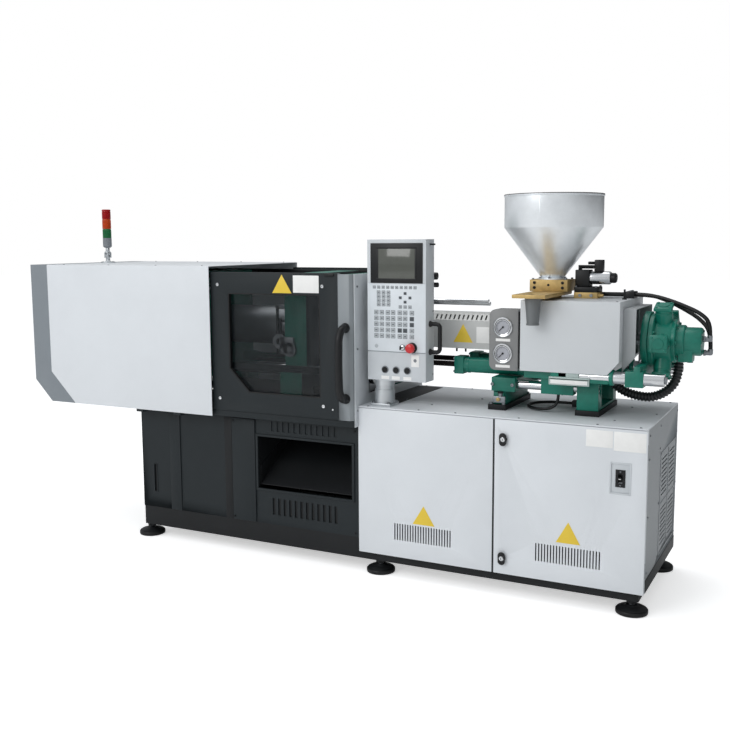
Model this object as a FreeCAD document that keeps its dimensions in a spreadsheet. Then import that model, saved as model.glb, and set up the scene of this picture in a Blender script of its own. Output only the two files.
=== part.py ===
"""Injection moulding machine: a parametric model in millimetres.

X runs along the machine, from the clamp end to the injection end.  Y runs from the operator
side to the rear.  Z is up from the floor.  The origin is on the floor, on the centreline of
the clamp and the barrel, half way along the machine.
"""
import FreeCAD, Part
import math
import os
import re

import Sketcher

Vector = FreeCAD.Vector
doc = FreeCAD.newDocument("moulding_machine")
sheet = doc.addObject("Spreadsheet::Sheet", "Sizes")
names = {}
nodes = []


# ---------------------------------------------------------------- driving sizes

def value(alias, size, note):
    """Write one driving size on a row of the sheet and name its cell."""
    line = len(names) + 1
    sheet.set("A%d" % line, note)
    sheet.set("B%d" % line, repr(float(size)))
    sheet.setAlias("B%d" % line, alias)
    names[alias] = float(size)


# Bed and base
value("bed_left", -965, "left end of the bed frame")
value("bed_right", 1380, "right end of the bed frame")
value("bed_half", 305, "half the width of the bed")
value("rail_low", 55, "underside of the bottom rails")
value("rail_high", 145, "top of the bottom rails")
value("rail_wide", 60, "width of a bottom rail")
value("channel_wall", 6, "wall of the channel section")
value("base_right", 205, "right end of the clamp base")
value("deck_high", 631, "top of the deck that carries the clamp")
value("deck_beam", 60, "height of a deck beam")
value("deck_inner", 235, "inner face of a deck beam")
value("post", 35, "side of a corner post")
value("panel_sheet", 4, "thickness of the base panels")
value("cover_arm", 12, "height of the arms that carry the clamp cover")
# Feet
value("foot_left", -950, "place of the left feet")
value("foot_middle", 290, "place of the middle feet")
value("foot_right", 1350, "place of the right feet")
value("foot_half", 275, "feet, out from the centreline")
value("pad_radius", 61, "radius of a levelling pad")
value("pad_tall", 34, "height of a levelling pad")
value("stud_radius", 12, "radius of a levelling stud")
value("stud_high", 100, "top of a levelling stud")
value("nut_tall", 15, "height of a lock nut")
# Chute opening and louvres in the front of the base
value("chute_left", -306, "left edge of the parts opening")
value("chute_right", 170, "right edge of the parts opening")
value("chute_low", 306, "lower edge of the parts opening")
value("chute_high", 543, "upper edge of the parts opening")
value("chute_sheet", 3, "thickness of the parts chute")
value("louvre_pitch", 28.8, "distance between louvres of the base")
value("louvre_wide", 14, "width of a louvre of the base")
value("louvre_left", -228, "centre of the first louvre of the base")
# Power cabinet
value("cabinet_left", 210, "left face of the power cabinet")
value("cabinet_right", 1400, "right face of the power cabinet")
value("cabinet_half", 325, "half the depth of the power cabinet")
value("cabinet_low", 91, "lower edge of the cabinet's skins")
value("cabinet_high", 720, "top of the power cabinet")
value("top_plate", 5, "thickness of the cabinet's top plate")
value("cabinet_sheet", 3, "thickness of the cabinet's sheet")
value("door_left", 814, "left edge of the cabinet door")
value("door_sheet", 2, "thickness of the door's sheet")
value("door_gap", 2, "gap round the door")
value("vent_pitch", 11.8, "distance between vent slots")
value("vent_wide", 5, "width of a vent slot")
value("vent_low", 165, "lower end of the vent slots")
value("vent_high", 236, "upper end of the vent slots")
value("latch_x", 850, "latches, place along the machine")
value("latch_upper_z", 636, "upper latch height")
value("latch_lower_z", 156, "lower latch height")
value("latch_radius", 6, "radius of a latch spindle")
value("breaker_x", 1304, "breaker, place along the machine")
value("breaker_z", 527, "breaker height")
value("end_front", -45, "front edge of the ventilated end panel")
value("end_rear", 290, "rear edge of the ventilated end panel")
value("end_low", 167, "lower edge of the ventilated end panel")
value("end_high", 572, "upper edge of the ventilated end panel")
# Clamp cover
value("cover_left", -1567, "left end of the clamp cover")
value("cover_right", -500, "right end of the clamp cover")
value("cover_half", 379, "half the width of the clamp cover")
value("cover_high", 1300, "top of the clamp cover")
value("cover_sheet", 3, "thickness of the clamp cover")
value("cover_chamfer", 103, "size of the cover's lower left bevel")
value("cover_band", 107, "width of the end cap's band")
# Clamp unit
value("axis_z", 1015, "height of the clamp and barrel axis")
value("platen_half", 250, "half the side of a platen")
value("platen_foot", 295, "outer face of the platens' feet")
value("foot_inner", 195, "inner face of the platens' feet")
value("fixed_left", 90, "mould face of the fixed platen")
value("moving_left", -190, "rear face of the moving platen")
value("moving_right", -80, "mould face of the moving platen")
value("tail_left", -800, "rear face of the tail platen")
value("tail_right", -690, "front face of the tail platen")
value("bar_offset", 180, "tie bars, out from the axis")
value("bar_radius", 25, "radius of a tie bar")
value("bar_fit", 0.06, "radial clearance of a sliding bore")
value("seat_fit", 0.1, "radial clearance of a fixed seat")
value("nut_radius", 40, "radius of a tie bar nut")
value("rear_nut", 35, "length of a tie bar nut behind the tail platen")
value("front_nut", 20, "length of a tie bar nut on the fixed platen")
value("ring_radius", 62.5, "radius of the locating ring bore")
value("ring_depth", 15, "depth of the locating ring bore")
value("nozzle_hole", 30, "radius of the nozzle hole")
value("mould_bolt", 105, "mould bolt holes, out from the axis")
value("mould_hole", 7, "radius of a mould bolt hole")
value("mould_depth", 32, "depth of a mould bolt hole")
value("ram_radius", 90, "radius of the clamp ram")
value("ram_left", -1110, "rear end of the clamp ram")
value("cylinder_left", -1420, "rear end of the clamp cylinder")
value("cylinder_radius", 130, "radius of the clamp cylinder")
value("chamber_radius", 98, "radius of the clamp cylinder's chamber")
value("nose_radius", 115, "radius of the clamp cylinder's nose")
value("ejector_radius", 17.5, "radius of the ejector rod")
value("ejector_head", 34, "radius of the ejector rod's head")
value("ejector_left", -285, "rear end of the ejector rod")
value("shoe_gap", 0.3, "gap under a sliding piece")
# Safety gates
value("gate_left", -503, "left edge of a safety gate")
value("gate_seam", 140, "where the gate's sheet meets its edge strip")
value("gate_right", 204, "right edge of a safety gate")
value("gate_low", 660, "lower edge of a safety gate")
value("gate_high", 1275, "upper edge of a safety gate")
value("gate_face", 364, "outer face of a safety gate")
value("gate_thick", 20, "thickness of a safety gate")
value("strip_sheet", 4, "thickness of the gate's edge strip")
value("window_left", -410, "left edge of the gate window")
value("window_right", 53, "right edge of the gate window")
value("window_low", 747, "lower edge of the gate window")
value("window_high", 1184, "upper edge of the gate window")
value("window_bevel", 101, "corner bevel of the gate window")
value("window_lap", 12, "lap of the pane behind the gate")
value("window_pane", 5, "thickness of the pane")
value("handle_x", 174, "gate handle, place along the machine")
value("handle_radius", 12, "radius of the gate handle")
value("gate_rail_left", -1100, "left end of the gate rails")
value("top_rail_out", 330, "outer face of the upper gate rail")
value("top_rail_in", 318, "inner face of the upper gate rail")
value("guard_sheet", 4, "thickness of the nozzle guard")
value("guard_open", 222, "half the width of the nozzle guard's opening")
# Operator panel
value("post_x", 298, "panel post, place along the machine")
value("post_y", -247, "panel post, place across the machine")
value("post_radius", 42.5, "radius of the panel post")
value("post_high", 806, "top of the panel post")
value("pivot_radius", 20, "radius of the panel's pivot")
value("panel_left", 245, "left side of the operator panel")
value("panel_right", 508, "right side of the operator panel")
value("panel_front", -300, "front of the operator panel")
value("panel_rear", -217, "rear of the operator panel")
value("panel_low", 833, "lower edge of the operator panel")
value("panel_high", 1412, "upper edge of the operator panel")
value("panel_wall", 2, "thickness of the operator panel's sheet")
value("stop_x", 448, "emergency stop, place along the machine")
value("stop_z", 973, "emergency stop height")
value("stop_radius", 11, "radius of the emergency stop's stem")
value("key_x", 405, "key switch, place along the machine")
value("key_radius", 9, "radius of the key switch")
value("button_z", 878, "height of the push buttons")
value("button_first", 325, "first push button, place along the machine")
value("button_pitch", 50.5, "distance between push buttons")
value("button_radius", 12, "radius of a push button")
value("panel_fit", 0.08, "radial clearance of a button")
# Injection carriage
value("guide_y", 130, "carriage guides, out from the centreline")
value("guide_z", 826, "height of the carriage guides")
value("guide_radius", 18, "radius of a carriage guide")
value("front_support", 741, "left face of the front support")
value("front_support_right", 840, "right face of the front support")
value("rear_support", 1090, "left face of the rear support")
value("rear_support_right", 1175, "right face of the rear support")
value("base_thick", 22, "thickness of a support's base plate")
value("seat_y", 90, "seat cylinders, out from the centreline")
value("seat_z", 889, "height of the seat cylinders")
value("seat_rod", 11.5, "radius of a seat cylinder's rod")
value("seat_tube", 32, "radius of a seat cylinder")
value("seat_bore", 26, "radius of a seat cylinder's bore")
value("seat_left", 562, "left end of a seat cylinder")
value("gland_long", 40, "length of a seat cylinder's gland")
value("housing_left", 880, "left face of the injection housing")
value("housing_right", 1060, "right face of the injection housing")
value("housing_half", 175, "half the width of the injection housing")
value("housing_low", 862, "underside of the injection housing")
value("housing_high", 1112, "top of the injection housing")
value("leg_left", 945, "left face of a carriage leg")
value("leg_right", 1075, "right face of a carriage leg")
value("barrel_radius", 42, "radius of the barrel")
value("screw_radius", 20, "radius of the barrel's bore")
value("barrel_left", 330, "left end of the barrel tube")
value("nozzle_left", 252, "tip of the nozzle")
value("band_long", 80, "length of a heater band")
value("band_pitch", 115, "distance between heater bands")
value("band_first", 350, "left end of the first heater band")
value("band_wall", 8, "thickness of a heater band")
value("barrel_cover_half", 100, "half the width of the barrel cover")
value("barrel_cover_low", 957, "lower edge of the barrel cover")
value("barrel_cover_high", 1100, "top of the barrel cover")
value("barrel_cover_bevel", 25, "bevel of the barrel cover")
value("thin_sheet", 2, "thickness of the small covers")
value("gauge_left", 747, "left edge of the gauge panel")
value("gauge_right", 866, "right edge of the gauge panel")
value("gauge_low", 891, "lower edge of the gauge panel")
value("gauge_high", 1134, "upper edge of the gauge panel")
value("gauge_rear", -135, "rear edge of the gauge panel")
value("gauge_x", 805, "gauges, place along the machine")
value("gauge_upper_z", 1064, "upper gauge height")
value("gauge_lower_z", 959, "lower gauge height")
value("gauge_radius", 36, "radius of a gauge case")
value("bezel_radius", 41, "radius of a gauge bezel")
value("white_left", 875, "left edge of the injection cover")
value("white_right", 1262, "right edge of the injection cover")
value("white_half", 215, "half the width of the injection cover")
value("white_low", 894, "lower edge of the injection cover")
value("white_high", 1173, "top of the injection cover")
value("white_bevel_x", 43, "length of the injection cover's bevel")
value("white_bevel_z", 51, "height of the injection cover's bevel")
value("inner_right", 1311, "right edge of the inner cover")
value("inner_half", 157, "half the width of the inner cover")
value("inner_high", 1145, "top of the inner cover")
value("rod_y", 185, "injection guide rods, out from the centreline")
value("rod_z", 883, "height of the injection guide rods")
value("rod_radius", 24, "radius of an injection guide rod")
value("rod_right", 1428, "right end of the injection guide rods")
value("thrust_left", 1318, "left face of the thrust plate")
value("thrust_right", 1342, "right face of the thrust plate")
value("thrust_radius", 112, "radius of the thrust plate's disc")
value("bush_left", 1286, "left face of a thrust plate bushing")
value("bush_right", 1354, "right face of a thrust plate bushing")
value("motor_radius", 85, "radius of the hydraulic motor's case")
value("motor_case", 1440, "right end of the motor's case")
value("motor_lobe_x", 1391, "middle of the motor's lobes")
value("lobe_radius", 33, "radius of a motor lobe")
value("lobe_reach", 150, "how far a motor lobe reaches")
value("cap_thick", 18, "thickness of a lobe cap")
value("cap_corner", 48, "half the diagonal of a lobe cap")
value("valve_radius", 55, "radius of the motor's distributor")
value("motor_right", 1532, "right end of the motor's distributor")
# Hopper
value("hopper_x", 940, "hopper, place along the machine")
value("hopper_radius", 197, "radius of the hopper")
value("hopper_top", 1585, "rim of the hopper")
value("hopper_knee", 1456, "where the hopper's cone ends")
value("hopper_sheet", 2, "thickness of the hopper")
value("outlet_radius", 45, "radius of the hopper's outlet")
value("lid_thick", 3, "thickness of the hopper lid")
value("plate_low", 1186, "underside of the slide plate")
value("plate_high", 1200, "top of the slide plate")
value("plate_front", -325, "front edge of the slide plate")
value("plate_half", 65, "half the width of the slide plate")
value("block_high", 1247, "top of the feed block")
value("block_half_x", 78, "half the length of the feed block")
value("block_half_y", 60, "half the width of the feed block")
value("feed_radius", 22, "radius of the feed hole")
value("drain_y", -262, "discharge chute, place across the machine")
# Signal tower
value("tower_x", -1452, "signal tower, place along the machine")
value("tower_y", 46, "signal tower, place across the machine")
value("tower_pivot", 1348, "height of the signal tower's knuckle")
value("tower_low", 1382, "underside of the signal tower's stack")
value("tower_high", 1575, "top of the signal tower")
value("tower_radius", 22.5, "radius of the signal tower")
# Hoses
value("hose_radius", 8, "radius of a motor hose")
value("conduit_radius", 20, "radius of the corrugated conduit")
value("cable_radius", 6, "radius of the sensor cable")


# ---------------------------------------------------------------- modelling helpers

WORD = re.compile(r"[A-Za-z_]\w*")


def bound(text):
    """Turn a sum of size names into an expression on the sheet."""
    return WORD.sub(lambda m: "Sizes." + m.group(0), str(text))


def number(text):
    """Work out a sum of size names in plain numbers."""
    plain = WORD.sub(lambda m: "(%r)" % names[m.group(0)], str(text))
    return FreeCAD.Units.Quantity(plain).Value


def bind(thing, **sums):
    """Bind properties of an object to sums of size names."""
    for key, text in sums.items():
        thing.setExpression(key.replace("__", "."), bound(text))


def place(thing, x, y, z):
    """Bind the base point of an object."""
    bind(thing, Placement__Base__x=x, Placement__Base__y=y, Placement__Base__z=z)


TURN = {
    "X": FreeCAD.Rotation(Vector(0, 1, 0), 90),
    "Y": FreeCAD.Rotation(Vector(1, 0, 0), -90),
    "Z": FreeCAD.Rotation(),
}


def base_point(axis, across, start):
    """Order the coordinates of a round piece's starting point."""
    first, second = across
    return {"X": (start, first, second), "Y": (first, start, second), "Z": (first, second, start)}[axis]


def block(xs, ys, zs):
    """Make a box between two corners."""
    box = doc.addObject("Part::Box", "Block")
    place(box, xs[0], ys[0], zs[0])
    bind(box, Length="(%s)-(%s)" % (xs[1], xs[0]), Width="(%s)-(%s)" % (ys[1], ys[0]),
         Height="(%s)-(%s)" % (zs[1], zs[0]))
    return box


def rod(axis, across, along, radius):
    """Make a cylinder along an axis, between two stations."""
    round_bar = doc.addObject("Part::Cylinder", "Rod")
    round_bar.Placement = FreeCAD.Placement(Vector(), TURN[axis])
    place(round_bar, *base_point(axis, across, along[0]))
    bind(round_bar, Radius=radius, Height="(%s)-(%s)" % (along[1], along[0]))
    return round_bar


def taper(axis, across, along, start_radius, end_radius):
    """Make a cone along an axis, between two stations."""
    cone = doc.addObject("Part::Cone", "Taper")
    cone.Placement = FreeCAD.Placement(Vector(), TURN[axis])
    place(cone, *base_point(axis, across, along[0]))
    bind(cone, Radius1=start_radius, Radius2=end_radius, Height="(%s)-(%s)" % (along[1], along[0]))
    return cone


def prism(axis, across, along, corner, sides, first_turn=0.0):
    """Make a regular prism along an axis, between two stations."""
    shape = doc.addObject("Part::Prism", "Prism")
    shape.Polygon = sides
    spin = FreeCAD.Rotation(Vector(0, 0, 1), first_turn)
    shape.Placement = FreeCAD.Placement(Vector(), TURN[axis].multiply(spin))
    place(shape, *base_point(axis, across, along[0]))
    bind(shape, Circumradius=corner, Height="(%s)-(%s)" % (along[1], along[0]))
    return shape


def join(*parts):
    """Weld pieces into one."""
    if len(parts) == 1:
        return parts[0]
    fused = doc.addObject("Part::MultiFuse", "Join")
    fused.Shapes = list(parts)
    return fused


def cut(base, *tools):
    """Take tools away from a piece."""
    taken = doc.addObject("Part::Cut", "Cut")
    taken.Base = base
    taken.Tool = join(*tools)
    return taken


def shared(first, second):
    """Keep what two pieces share."""
    common = doc.addObject("Part::Common", "Shared")
    common.Base = first
    common.Tool = second
    return common


def group(*parts):
    """Hold separate pieces together as one node."""
    held = doc.addObject("Part::Compound", "Group")
    held.Links = list(parts)
    return held


def mirrored(thing):
    """Copy a piece to the other side of the centreline."""
    copy = doc.addObject("Part::Mirroring", "Mirrored")
    copy.Source = thing
    copy.Base = Vector(0, 0, 0)
    copy.Normal = Vector(0, 1, 0)
    return copy


def outline(plane, points, span):
    """Pad a closed outline drawn on an origin plane, between two stations across it."""
    body = doc.addObject("PartDesign::Body", "Outline")
    sketch = body.newObject("Sketcher::SketchObject", "Sketch")
    origin = [item for item in body.Origin.OriginFeatures if item.Role == plane + "_Plane"][0]
    sketch.AttachmentSupport = [(origin, "")]
    sketch.MapMode = "FlatFace"
    corners = [(number(a), number(b)) for a, b in points]
    count = len(corners)
    for i, (a, b) in enumerate(corners):
        end = corners[(i + 1) % count]
        sketch.addGeometry(Part.LineSegment(Vector(a, b, 0), Vector(end[0], end[1], 0)))
    for i in range(count):
        sketch.addConstraint(Sketcher.Constraint("Coincident", i, 2, (i + 1) % count, 1))
    for i, (a, b) in enumerate(corners):
        for kind, size, text in (("DistanceX", a, points[i][0]), ("DistanceY", b, points[i][1])):
            row = sketch.addConstraint(Sketcher.Constraint(kind, -1, 1, i, 1, size))
            sketch.setExpression("Constraints[%d]" % row, bound(text))
    pad = body.newObject("PartDesign::Pad", "Pad")
    pad.Profile = sketch
    pad.SideType = "Symmetric"
    bind(pad, Length="(%s)-(%s)" % (span[1], span[0]))
    across = {"XZ": "y", "YZ": "x", "XY": "z"}[plane]
    body.setExpression("Placement.Base." + across, bound("((%s)+(%s))/2" % (span[0], span[1])))
    return body


def tube(name, points, radius, share=0.45):
    """Sweep a round section along straight runs joined by tangent arcs."""
    route = [Vector(*point) for point in points]
    edges, start, radii, length = [], route[0], [], 0.0
    for before, corner, after in zip(route, route[1:], route[2:]):
        back, ahead = (before - corner), (after - corner)
        turn = math.pi - back.getAngle(ahead)
        reach = share * min(back.Length, ahead.Length)
        bend = reach / math.tan(turn / 2)
        first = corner + back.normalize() * reach
        last = corner + ahead.normalize() * reach
        middle_line = (back + ahead).normalize()
        middle = corner + middle_line * (bend / math.cos(turn / 2) - bend)
        edges += [Part.LineSegment(start, first).toShape(), Part.Arc(first, middle, last).toShape()]
        start = last
        radii.append(bend)
    edges.append(Part.LineSegment(start, route[-1]).toShape())
    path = Part.Wire(edges)
    ring = Part.Wire(Part.Circle(route[0], route[1] - route[0], radius).toShape())
    solid = path.makePipeShell([ring], True, False)
    length = path.Length
    print("%s: length %.0f, radii %s, volume over section times length %.4f" % (
        name, length, " ".join("%.0f" % bend for bend in radii),
        solid.Volume / (math.pi * radius ** 2 * length)))
    feature = doc.addObject("Part::Feature", "Tube")
    feature.Shape = solid
    return feature


def node(name, thing):
    """Give a finished piece its own name."""
    thing.Label = name
    nodes.append(thing)


def span_out(sign, inner, outer):
    """Give a span that lies between two distances from the centreline, on one side."""
    if sign:
        return ("-(%s)" % outer, "-(%s)" % inner)
    return (inner, outer)


# ---------------------------------------------------------------- bed, feet and base

def bed_frame():
    """Weld the bottom channels, posts, deck beams and cover arms into one frame."""
    rails, hollows = [], []
    for sign in ("-", ""):
        rails.append(block(("bed_left", "bed_right"), span_out(sign, "bed_half-rail_wide", "bed_half"),
                           ("rail_low", "rail_high")))
        hollows.append(block(("bed_left-1", "bed_right+1"),
                             span_out(sign, "bed_half-rail_wide-1", "bed_half-channel_wall"),
                             ("rail_low+channel_wall", "rail_high-channel_wall")))
    frame = [cut(join(*rails), *hollows)]
    for left in ("bed_left", "base_right-rail_wide", "bed_right-rail_wide"):
        frame.append(block((left, left + "+rail_wide"), ("-bed_half+channel_wall", "bed_half-channel_wall"),
                           ("rail_low", "rail_high")))
    for sign in ("-", ""):
        for left in ("bed_left", "base_right-post"):
            frame.append(block((left, left + "+post"),
                               span_out(sign, "bed_half-panel_sheet-post", "bed_half-panel_sheet"),
                               ("rail_high", "deck_high-deck_beam")))
        frame.append(block(("bed_left", "base_right"), span_out(sign, "deck_inner", "bed_half-panel_sheet"),
                           ("deck_high-deck_beam", "deck_high")))
        for left in ("bed_left+30", "cover_right-220"):
            frame.append(block((left, left + "+40"), span_out(sign, "bed_half-panel_sheet-5", "cover_half-1"),
                               ("deck_high-cover_arm", "deck_high")))
    for left in ("bed_left", "base_right-deck_beam"):
        frame.append(block((left, left + "+deck_beam"), ("-deck_inner", "deck_inner"),
                           ("deck_high-deck_beam", "deck_high")))
    holes = []
    for x in ("foot_left", "foot_middle", "foot_right"):
        for y in ("-foot_half", "foot_half"):
            holes.append(rod("Z", (x, y), ("rail_low-1", "stud_high+5"), "stud_radius+0.5"))
    return cut(join(*frame), *holes)


def levelling_feet():
    """Make a pad, a stud and a lock nut for each of the six feet."""
    pieces = []
    for x in ("foot_left", "foot_middle", "foot_right"):
        for y in ("-foot_half", "foot_half"):
            pieces.append(join(rod("Z", (x, y), ("0", "pad_tall/2"), "pad_radius"),
                               taper("Z", (x, y), ("pad_tall/2", "pad_tall"), "pad_radius-4", "stud_radius+10")))
            pieces.append(rod("Z", (x, y), ("pad_tall", "stud_high"), "stud_radius"))
            nut = prism("Z", (x, y), ("rail_low-nut_tall", "rail_low"), "stud_radius*1.8", 6)
            pieces.append(cut(nut, rod("Z", (x, y), ("rail_low-nut_tall-1", "rail_low+1"),
                                       "stud_radius+seat_fit")))
    return group(*pieces)


def base_panels():
    """Make the front, rear and left skins of the clamp base."""
    skin_z = ("rail_high", "deck_high-cover_arm")
    front = block(("bed_left", "base_right"), ("-bed_half", "-bed_half+panel_sheet"), skin_z)
    through = ("-bed_half-1", "-bed_half+panel_sheet+1")
    holes = [block(("chute_left", "chute_right"), through, ("chute_low", "chute_high")),
             block(("bed_left+65", "bed_left+79"), through, ("rail_high+78", "rail_high+210"))]
    for i in range(12):
        left = "louvre_left+%d*louvre_pitch-louvre_wide/2" % i
        for low, high in (("chute_high+28", "deck_high-cover_arm-4"), ("rail_high+45", "chute_low-40")):
            holes.append(block((left, left + "+louvre_wide"), through, (low, high)))
    rear = block(("bed_left", "base_right"), ("bed_half-panel_sheet", "bed_half"), skin_z)
    end = block(("bed_left-panel_sheet", "bed_left"), ("-bed_half", "bed_half"), skin_z)
    return group(cut(front, *holes), rear, end)


def parts_chute():
    """Fold the sloping sheet that leads moulded parts out of the base."""
    foot_y, head_y = "-bed_half+panel_sheet+10", "60"
    floor = outline("YZ", [(foot_y, "chute_low+14"), (head_y, "chute_high+2"),
                           (head_y, "chute_high+2+chute_sheet"), (foot_y, "chute_low+14+chute_sheet")],
                    ("chute_left+chute_sheet", "chute_right"))
    walls = []
    for left in ("chute_left", "chute_right-chute_sheet"):
        walls.append(outline("YZ", [(foot_y, "chute_low+14"), (head_y, "chute_high+2"),
                                    (head_y, "deck_high-deck_beam-2"), (foot_y, "chute_low+100")],
                             (left, left + "+chute_sheet")))
    return join(floor, *walls)


# ---------------------------------------------------------------- power cabinet

def cabinet_shell():
    """Fold the cabinet's rear, sides, floor and roof, open to the front and to the end panel."""
    body = block(("cabinet_left", "cabinet_right"), ("-bed_half", "cabinet_half"),
                 ("cabinet_low", "cabinet_high-top_plate"))
    inside = block(("cabinet_left+cabinet_sheet", "cabinet_right-cabinet_sheet"),
                   ("-bed_half-1", "cabinet_half-cabinet_sheet"),
                   ("rail_high+cabinet_sheet", "cabinet_high-top_plate-cabinet_sheet"))
    under = block(("cabinet_left-1", "cabinet_right-cabinet_sheet"), ("-bed_half-1", "cabinet_half-cabinet_sheet"),
                  ("cabinet_low-1", "rail_high"))
    window = block(("cabinet_right-cabinet_sheet-1", "cabinet_right+1"), ("end_front", "end_rear"),
                   ("end_low", "end_high"))
    return cut(body, inside, under, window)


def cabinet_top():
    """Make the cabinet's top plate and the gland block that the sensor cable enters."""
    return group(block(("cabinet_left", "cabinet_right"), ("-cabinet_half", "cabinet_half"),
                       ("cabinet_high-top_plate", "cabinet_high")),
                 block(("1022", "1050"), ("32", "62"), ("cabinet_high", "cabinet_high+26")))


def vent_slots(first, face):
    """Make the cutters for a row of upright vent slots."""
    slots = []
    for i in range(22):
        left = "%s+%d*vent_pitch" % (first, i)
        slots.append(block((left, left + "+vent_wide"), face, ("vent_low", "vent_high")))
    return slots


def front_pan(left, right, rear):
    """Fold a front skin as a shallow pan."""
    pan = block((left, right), ("-cabinet_half", rear), ("cabinet_low", "cabinet_high-top_plate-door_gap"))
    hollow = block((left + "+door_sheet", right + "-door_sheet"), ("-cabinet_half+door_sheet", rear + "+1"),
                   ("cabinet_low+door_sheet", "cabinet_high-top_plate-door_gap-door_sheet"))
    return pan, hollow


SKIN = ("-cabinet_half-1", "-cabinet_half+door_sheet+1")


def cabinet_left_panel():
    """Make the fixed front skin of the cabinet."""
    pan, hollow = front_pan("cabinet_left+0.5", "door_left-door_gap", "-bed_half")
    return cut(pan, hollow, *vent_slots("cabinet_left+167", SKIN))


def cabinet_door():
    """Make the cabinet door and the breaker that it carries."""
    pan, hollow = front_pan("door_left", "cabinet_right-0.5", "-bed_half-0.5")
    holes = vent_slots("door_left+170", SKIN)
    for z in ("latch_upper_z", "latch_lower_z"):
        holes.append(rod("Y", ("latch_x", z), SKIN, "latch_radius+bar_fit"))
    holes.append(block(("breaker_x-40", "breaker_x+40"), SKIN, ("breaker_z-61", "breaker_z+61")))
    door = cut(pan, hollow, *holes)
    flange = block(("breaker_x-46", "breaker_x+46"), ("-cabinet_half+door_sheet", "-cabinet_half+door_sheet+6"),
                   ("breaker_z-67", "breaker_z+67"))
    case = block(("breaker_x-18", "breaker_x+18"), ("-cabinet_half-1", "-cabinet_half+16"),
                 ("breaker_z-33", "breaker_z+33"))
    slot = block(("breaker_x-8", "breaker_x+8"), ("-cabinet_half-2", "-cabinet_half+14"),
                 ("breaker_z-17", "breaker_z+17"))
    pivot = rod("X", ("-cabinet_half+9", "breaker_z"), ("breaker_x-12", "breaker_x+12"), "2+bar_fit")
    return group(door, cut(join(flange, case), slot, pivot))


def latch(z):
    """Make a latch: oval handle, spindle and cam."""
    handle = join(rod("Y", ("latch_x", z), ("-cabinet_half-9", "-cabinet_half-0.3"), "15"),
                  block(("latch_x-7", "latch_x+7"), ("-cabinet_half-14", "-cabinet_half-9"), (z + "-26", z + "+26")))
    spindle = rod("Y", ("latch_x", z), ("-cabinet_half-1", "-cabinet_half+17"), "latch_radius")
    cam = block(("latch_x-28", "latch_x+7"), ("-cabinet_half+13", "-cabinet_half+17"), (z + "-8", z + "+8"))
    return join(handle, spindle, cam)


def breaker_toggle():
    """Make the breaker's toggle with its pivot pin."""
    lever = block(("breaker_x-6", "breaker_x+6"), ("-cabinet_half-10", "-cabinet_half+10"),
                  ("breaker_z-5", "breaker_z+5"))
    pin = rod("X", ("-cabinet_half+9", "breaker_z"), ("breaker_x-11", "breaker_x+11"), "2")
    return join(lever, pin)


def cabinet_end_panel():
    """Make the removable end panel with its four fields of louvres."""
    plate = block(("cabinet_right-cabinet_sheet", "cabinet_right"), ("end_front", "end_rear"),
                  ("end_low", "end_high"))
    slots = []
    for column in range(2):
        for row in range(2):
            for i in range(9):
                y = "end_front+25+%d*(end_rear-end_front)/2" % column
                z = "end_low+28+%d*(end_high-end_low)/2+%d*18" % (row, i)
                slots.append(block(("cabinet_right-cabinet_sheet-1", "cabinet_right+1"),
                                   (y, y + "+(end_rear-end_front)/2-50"), (z, z + "+6")))
    return cut(plate, *slots)


# ---------------------------------------------------------------- clamp cover and clamp unit

def cover_outline(inset, grow):
    """Give the side view of the clamp cover, moved in by a wall's thickness."""
    diagonal = "cover_left+cover_chamfer+1.4142*(%s)+(%s)" % (inset, grow)
    return [("cover_left+(%s)" % inset, "cover_high-(%s)" % inset),
            ("cover_right+(%s)" % grow, "cover_high-(%s)" % inset),
            ("cover_right+(%s)" % grow, "deck_high-(%s)" % grow),
            (diagonal, "deck_high-(%s)" % grow),
            ("cover_left+(%s)" % inset, "deck_high+cover_chamfer+0.4142*(%s)" % inset)]


def cover_pieces():
    """Fold the clamp cover and split it from its end cap along the band."""
    outer = outline("XZ", cover_outline("0", "0"), ("-cover_half", "cover_half"))
    inner = outline("XZ", cover_outline("cover_sheet", "1"), ("-cover_half+cover_sheet", "cover_half-cover_sheet"))
    shell = cut(outer, inner)
    region = outline("XZ", [("cover_left-1", "cover_high+1"), ("cover_left+cover_band", "cover_high+1"),
                            ("cover_left+cover_band", "deck_high+cover_chamfer+0.4142*cover_band"),
                            ("cover_left+cover_chamfer+1.4142*cover_band+1", "deck_high-1"),
                            ("cover_left-1", "deck_high-1")], ("-cover_half-1", "cover_half+1"))
    return cut(shell, region), shared(shell, region)


BAR_PLACES = [("-bar_offset", "axis_z-bar_offset"), ("-bar_offset", "axis_z+bar_offset"),
              ("bar_offset", "axis_z-bar_offset"), ("bar_offset", "axis_z+bar_offset")]


def platen(left, right, foot_low, fit):
    """Cast a platen with two feet and four tie bar bores."""
    plate = [block((left, right), ("-platen_half", "platen_half"), ("axis_z-platen_half", "axis_z+platen_half"))]
    for sign in ("-", ""):
        plate.append(block((left, right), span_out(sign, "foot_inner", "platen_foot"),
                           (foot_low, "axis_z-platen_half+85")))
    bores = [rod("X", at, (left + "-1", right + "+1"), "bar_radius+" + fit) for at in BAR_PLACES]
    return join(*plate), bores


def mould_holes(face, depth_end):
    """Make the cutters for the four tapped holes that hold a mould half."""
    places = [(y, z) for y in ("-mould_bolt", "mould_bolt") for z in ("axis_z-mould_bolt", "axis_z+mould_bolt")]
    return [rod("X", at, (face, depth_end), "mould_hole") for at in places]


CENTRE = ("0", "axis_z")


def fixed_platen():
    """Make the platen that holds the injection half of the mould."""
    plate, bores = platen("fixed_left", "base_right", "deck_high", "seat_fit")
    return cut(plate, *bores, rod("X", CENTRE, ("fixed_left-1", "base_right+1"), "nozzle_hole"),
               rod("X", CENTRE, ("fixed_left-1", "fixed_left+ring_depth"), "ring_radius"),
               *mould_holes("fixed_left-1", "fixed_left+mould_depth"))


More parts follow.
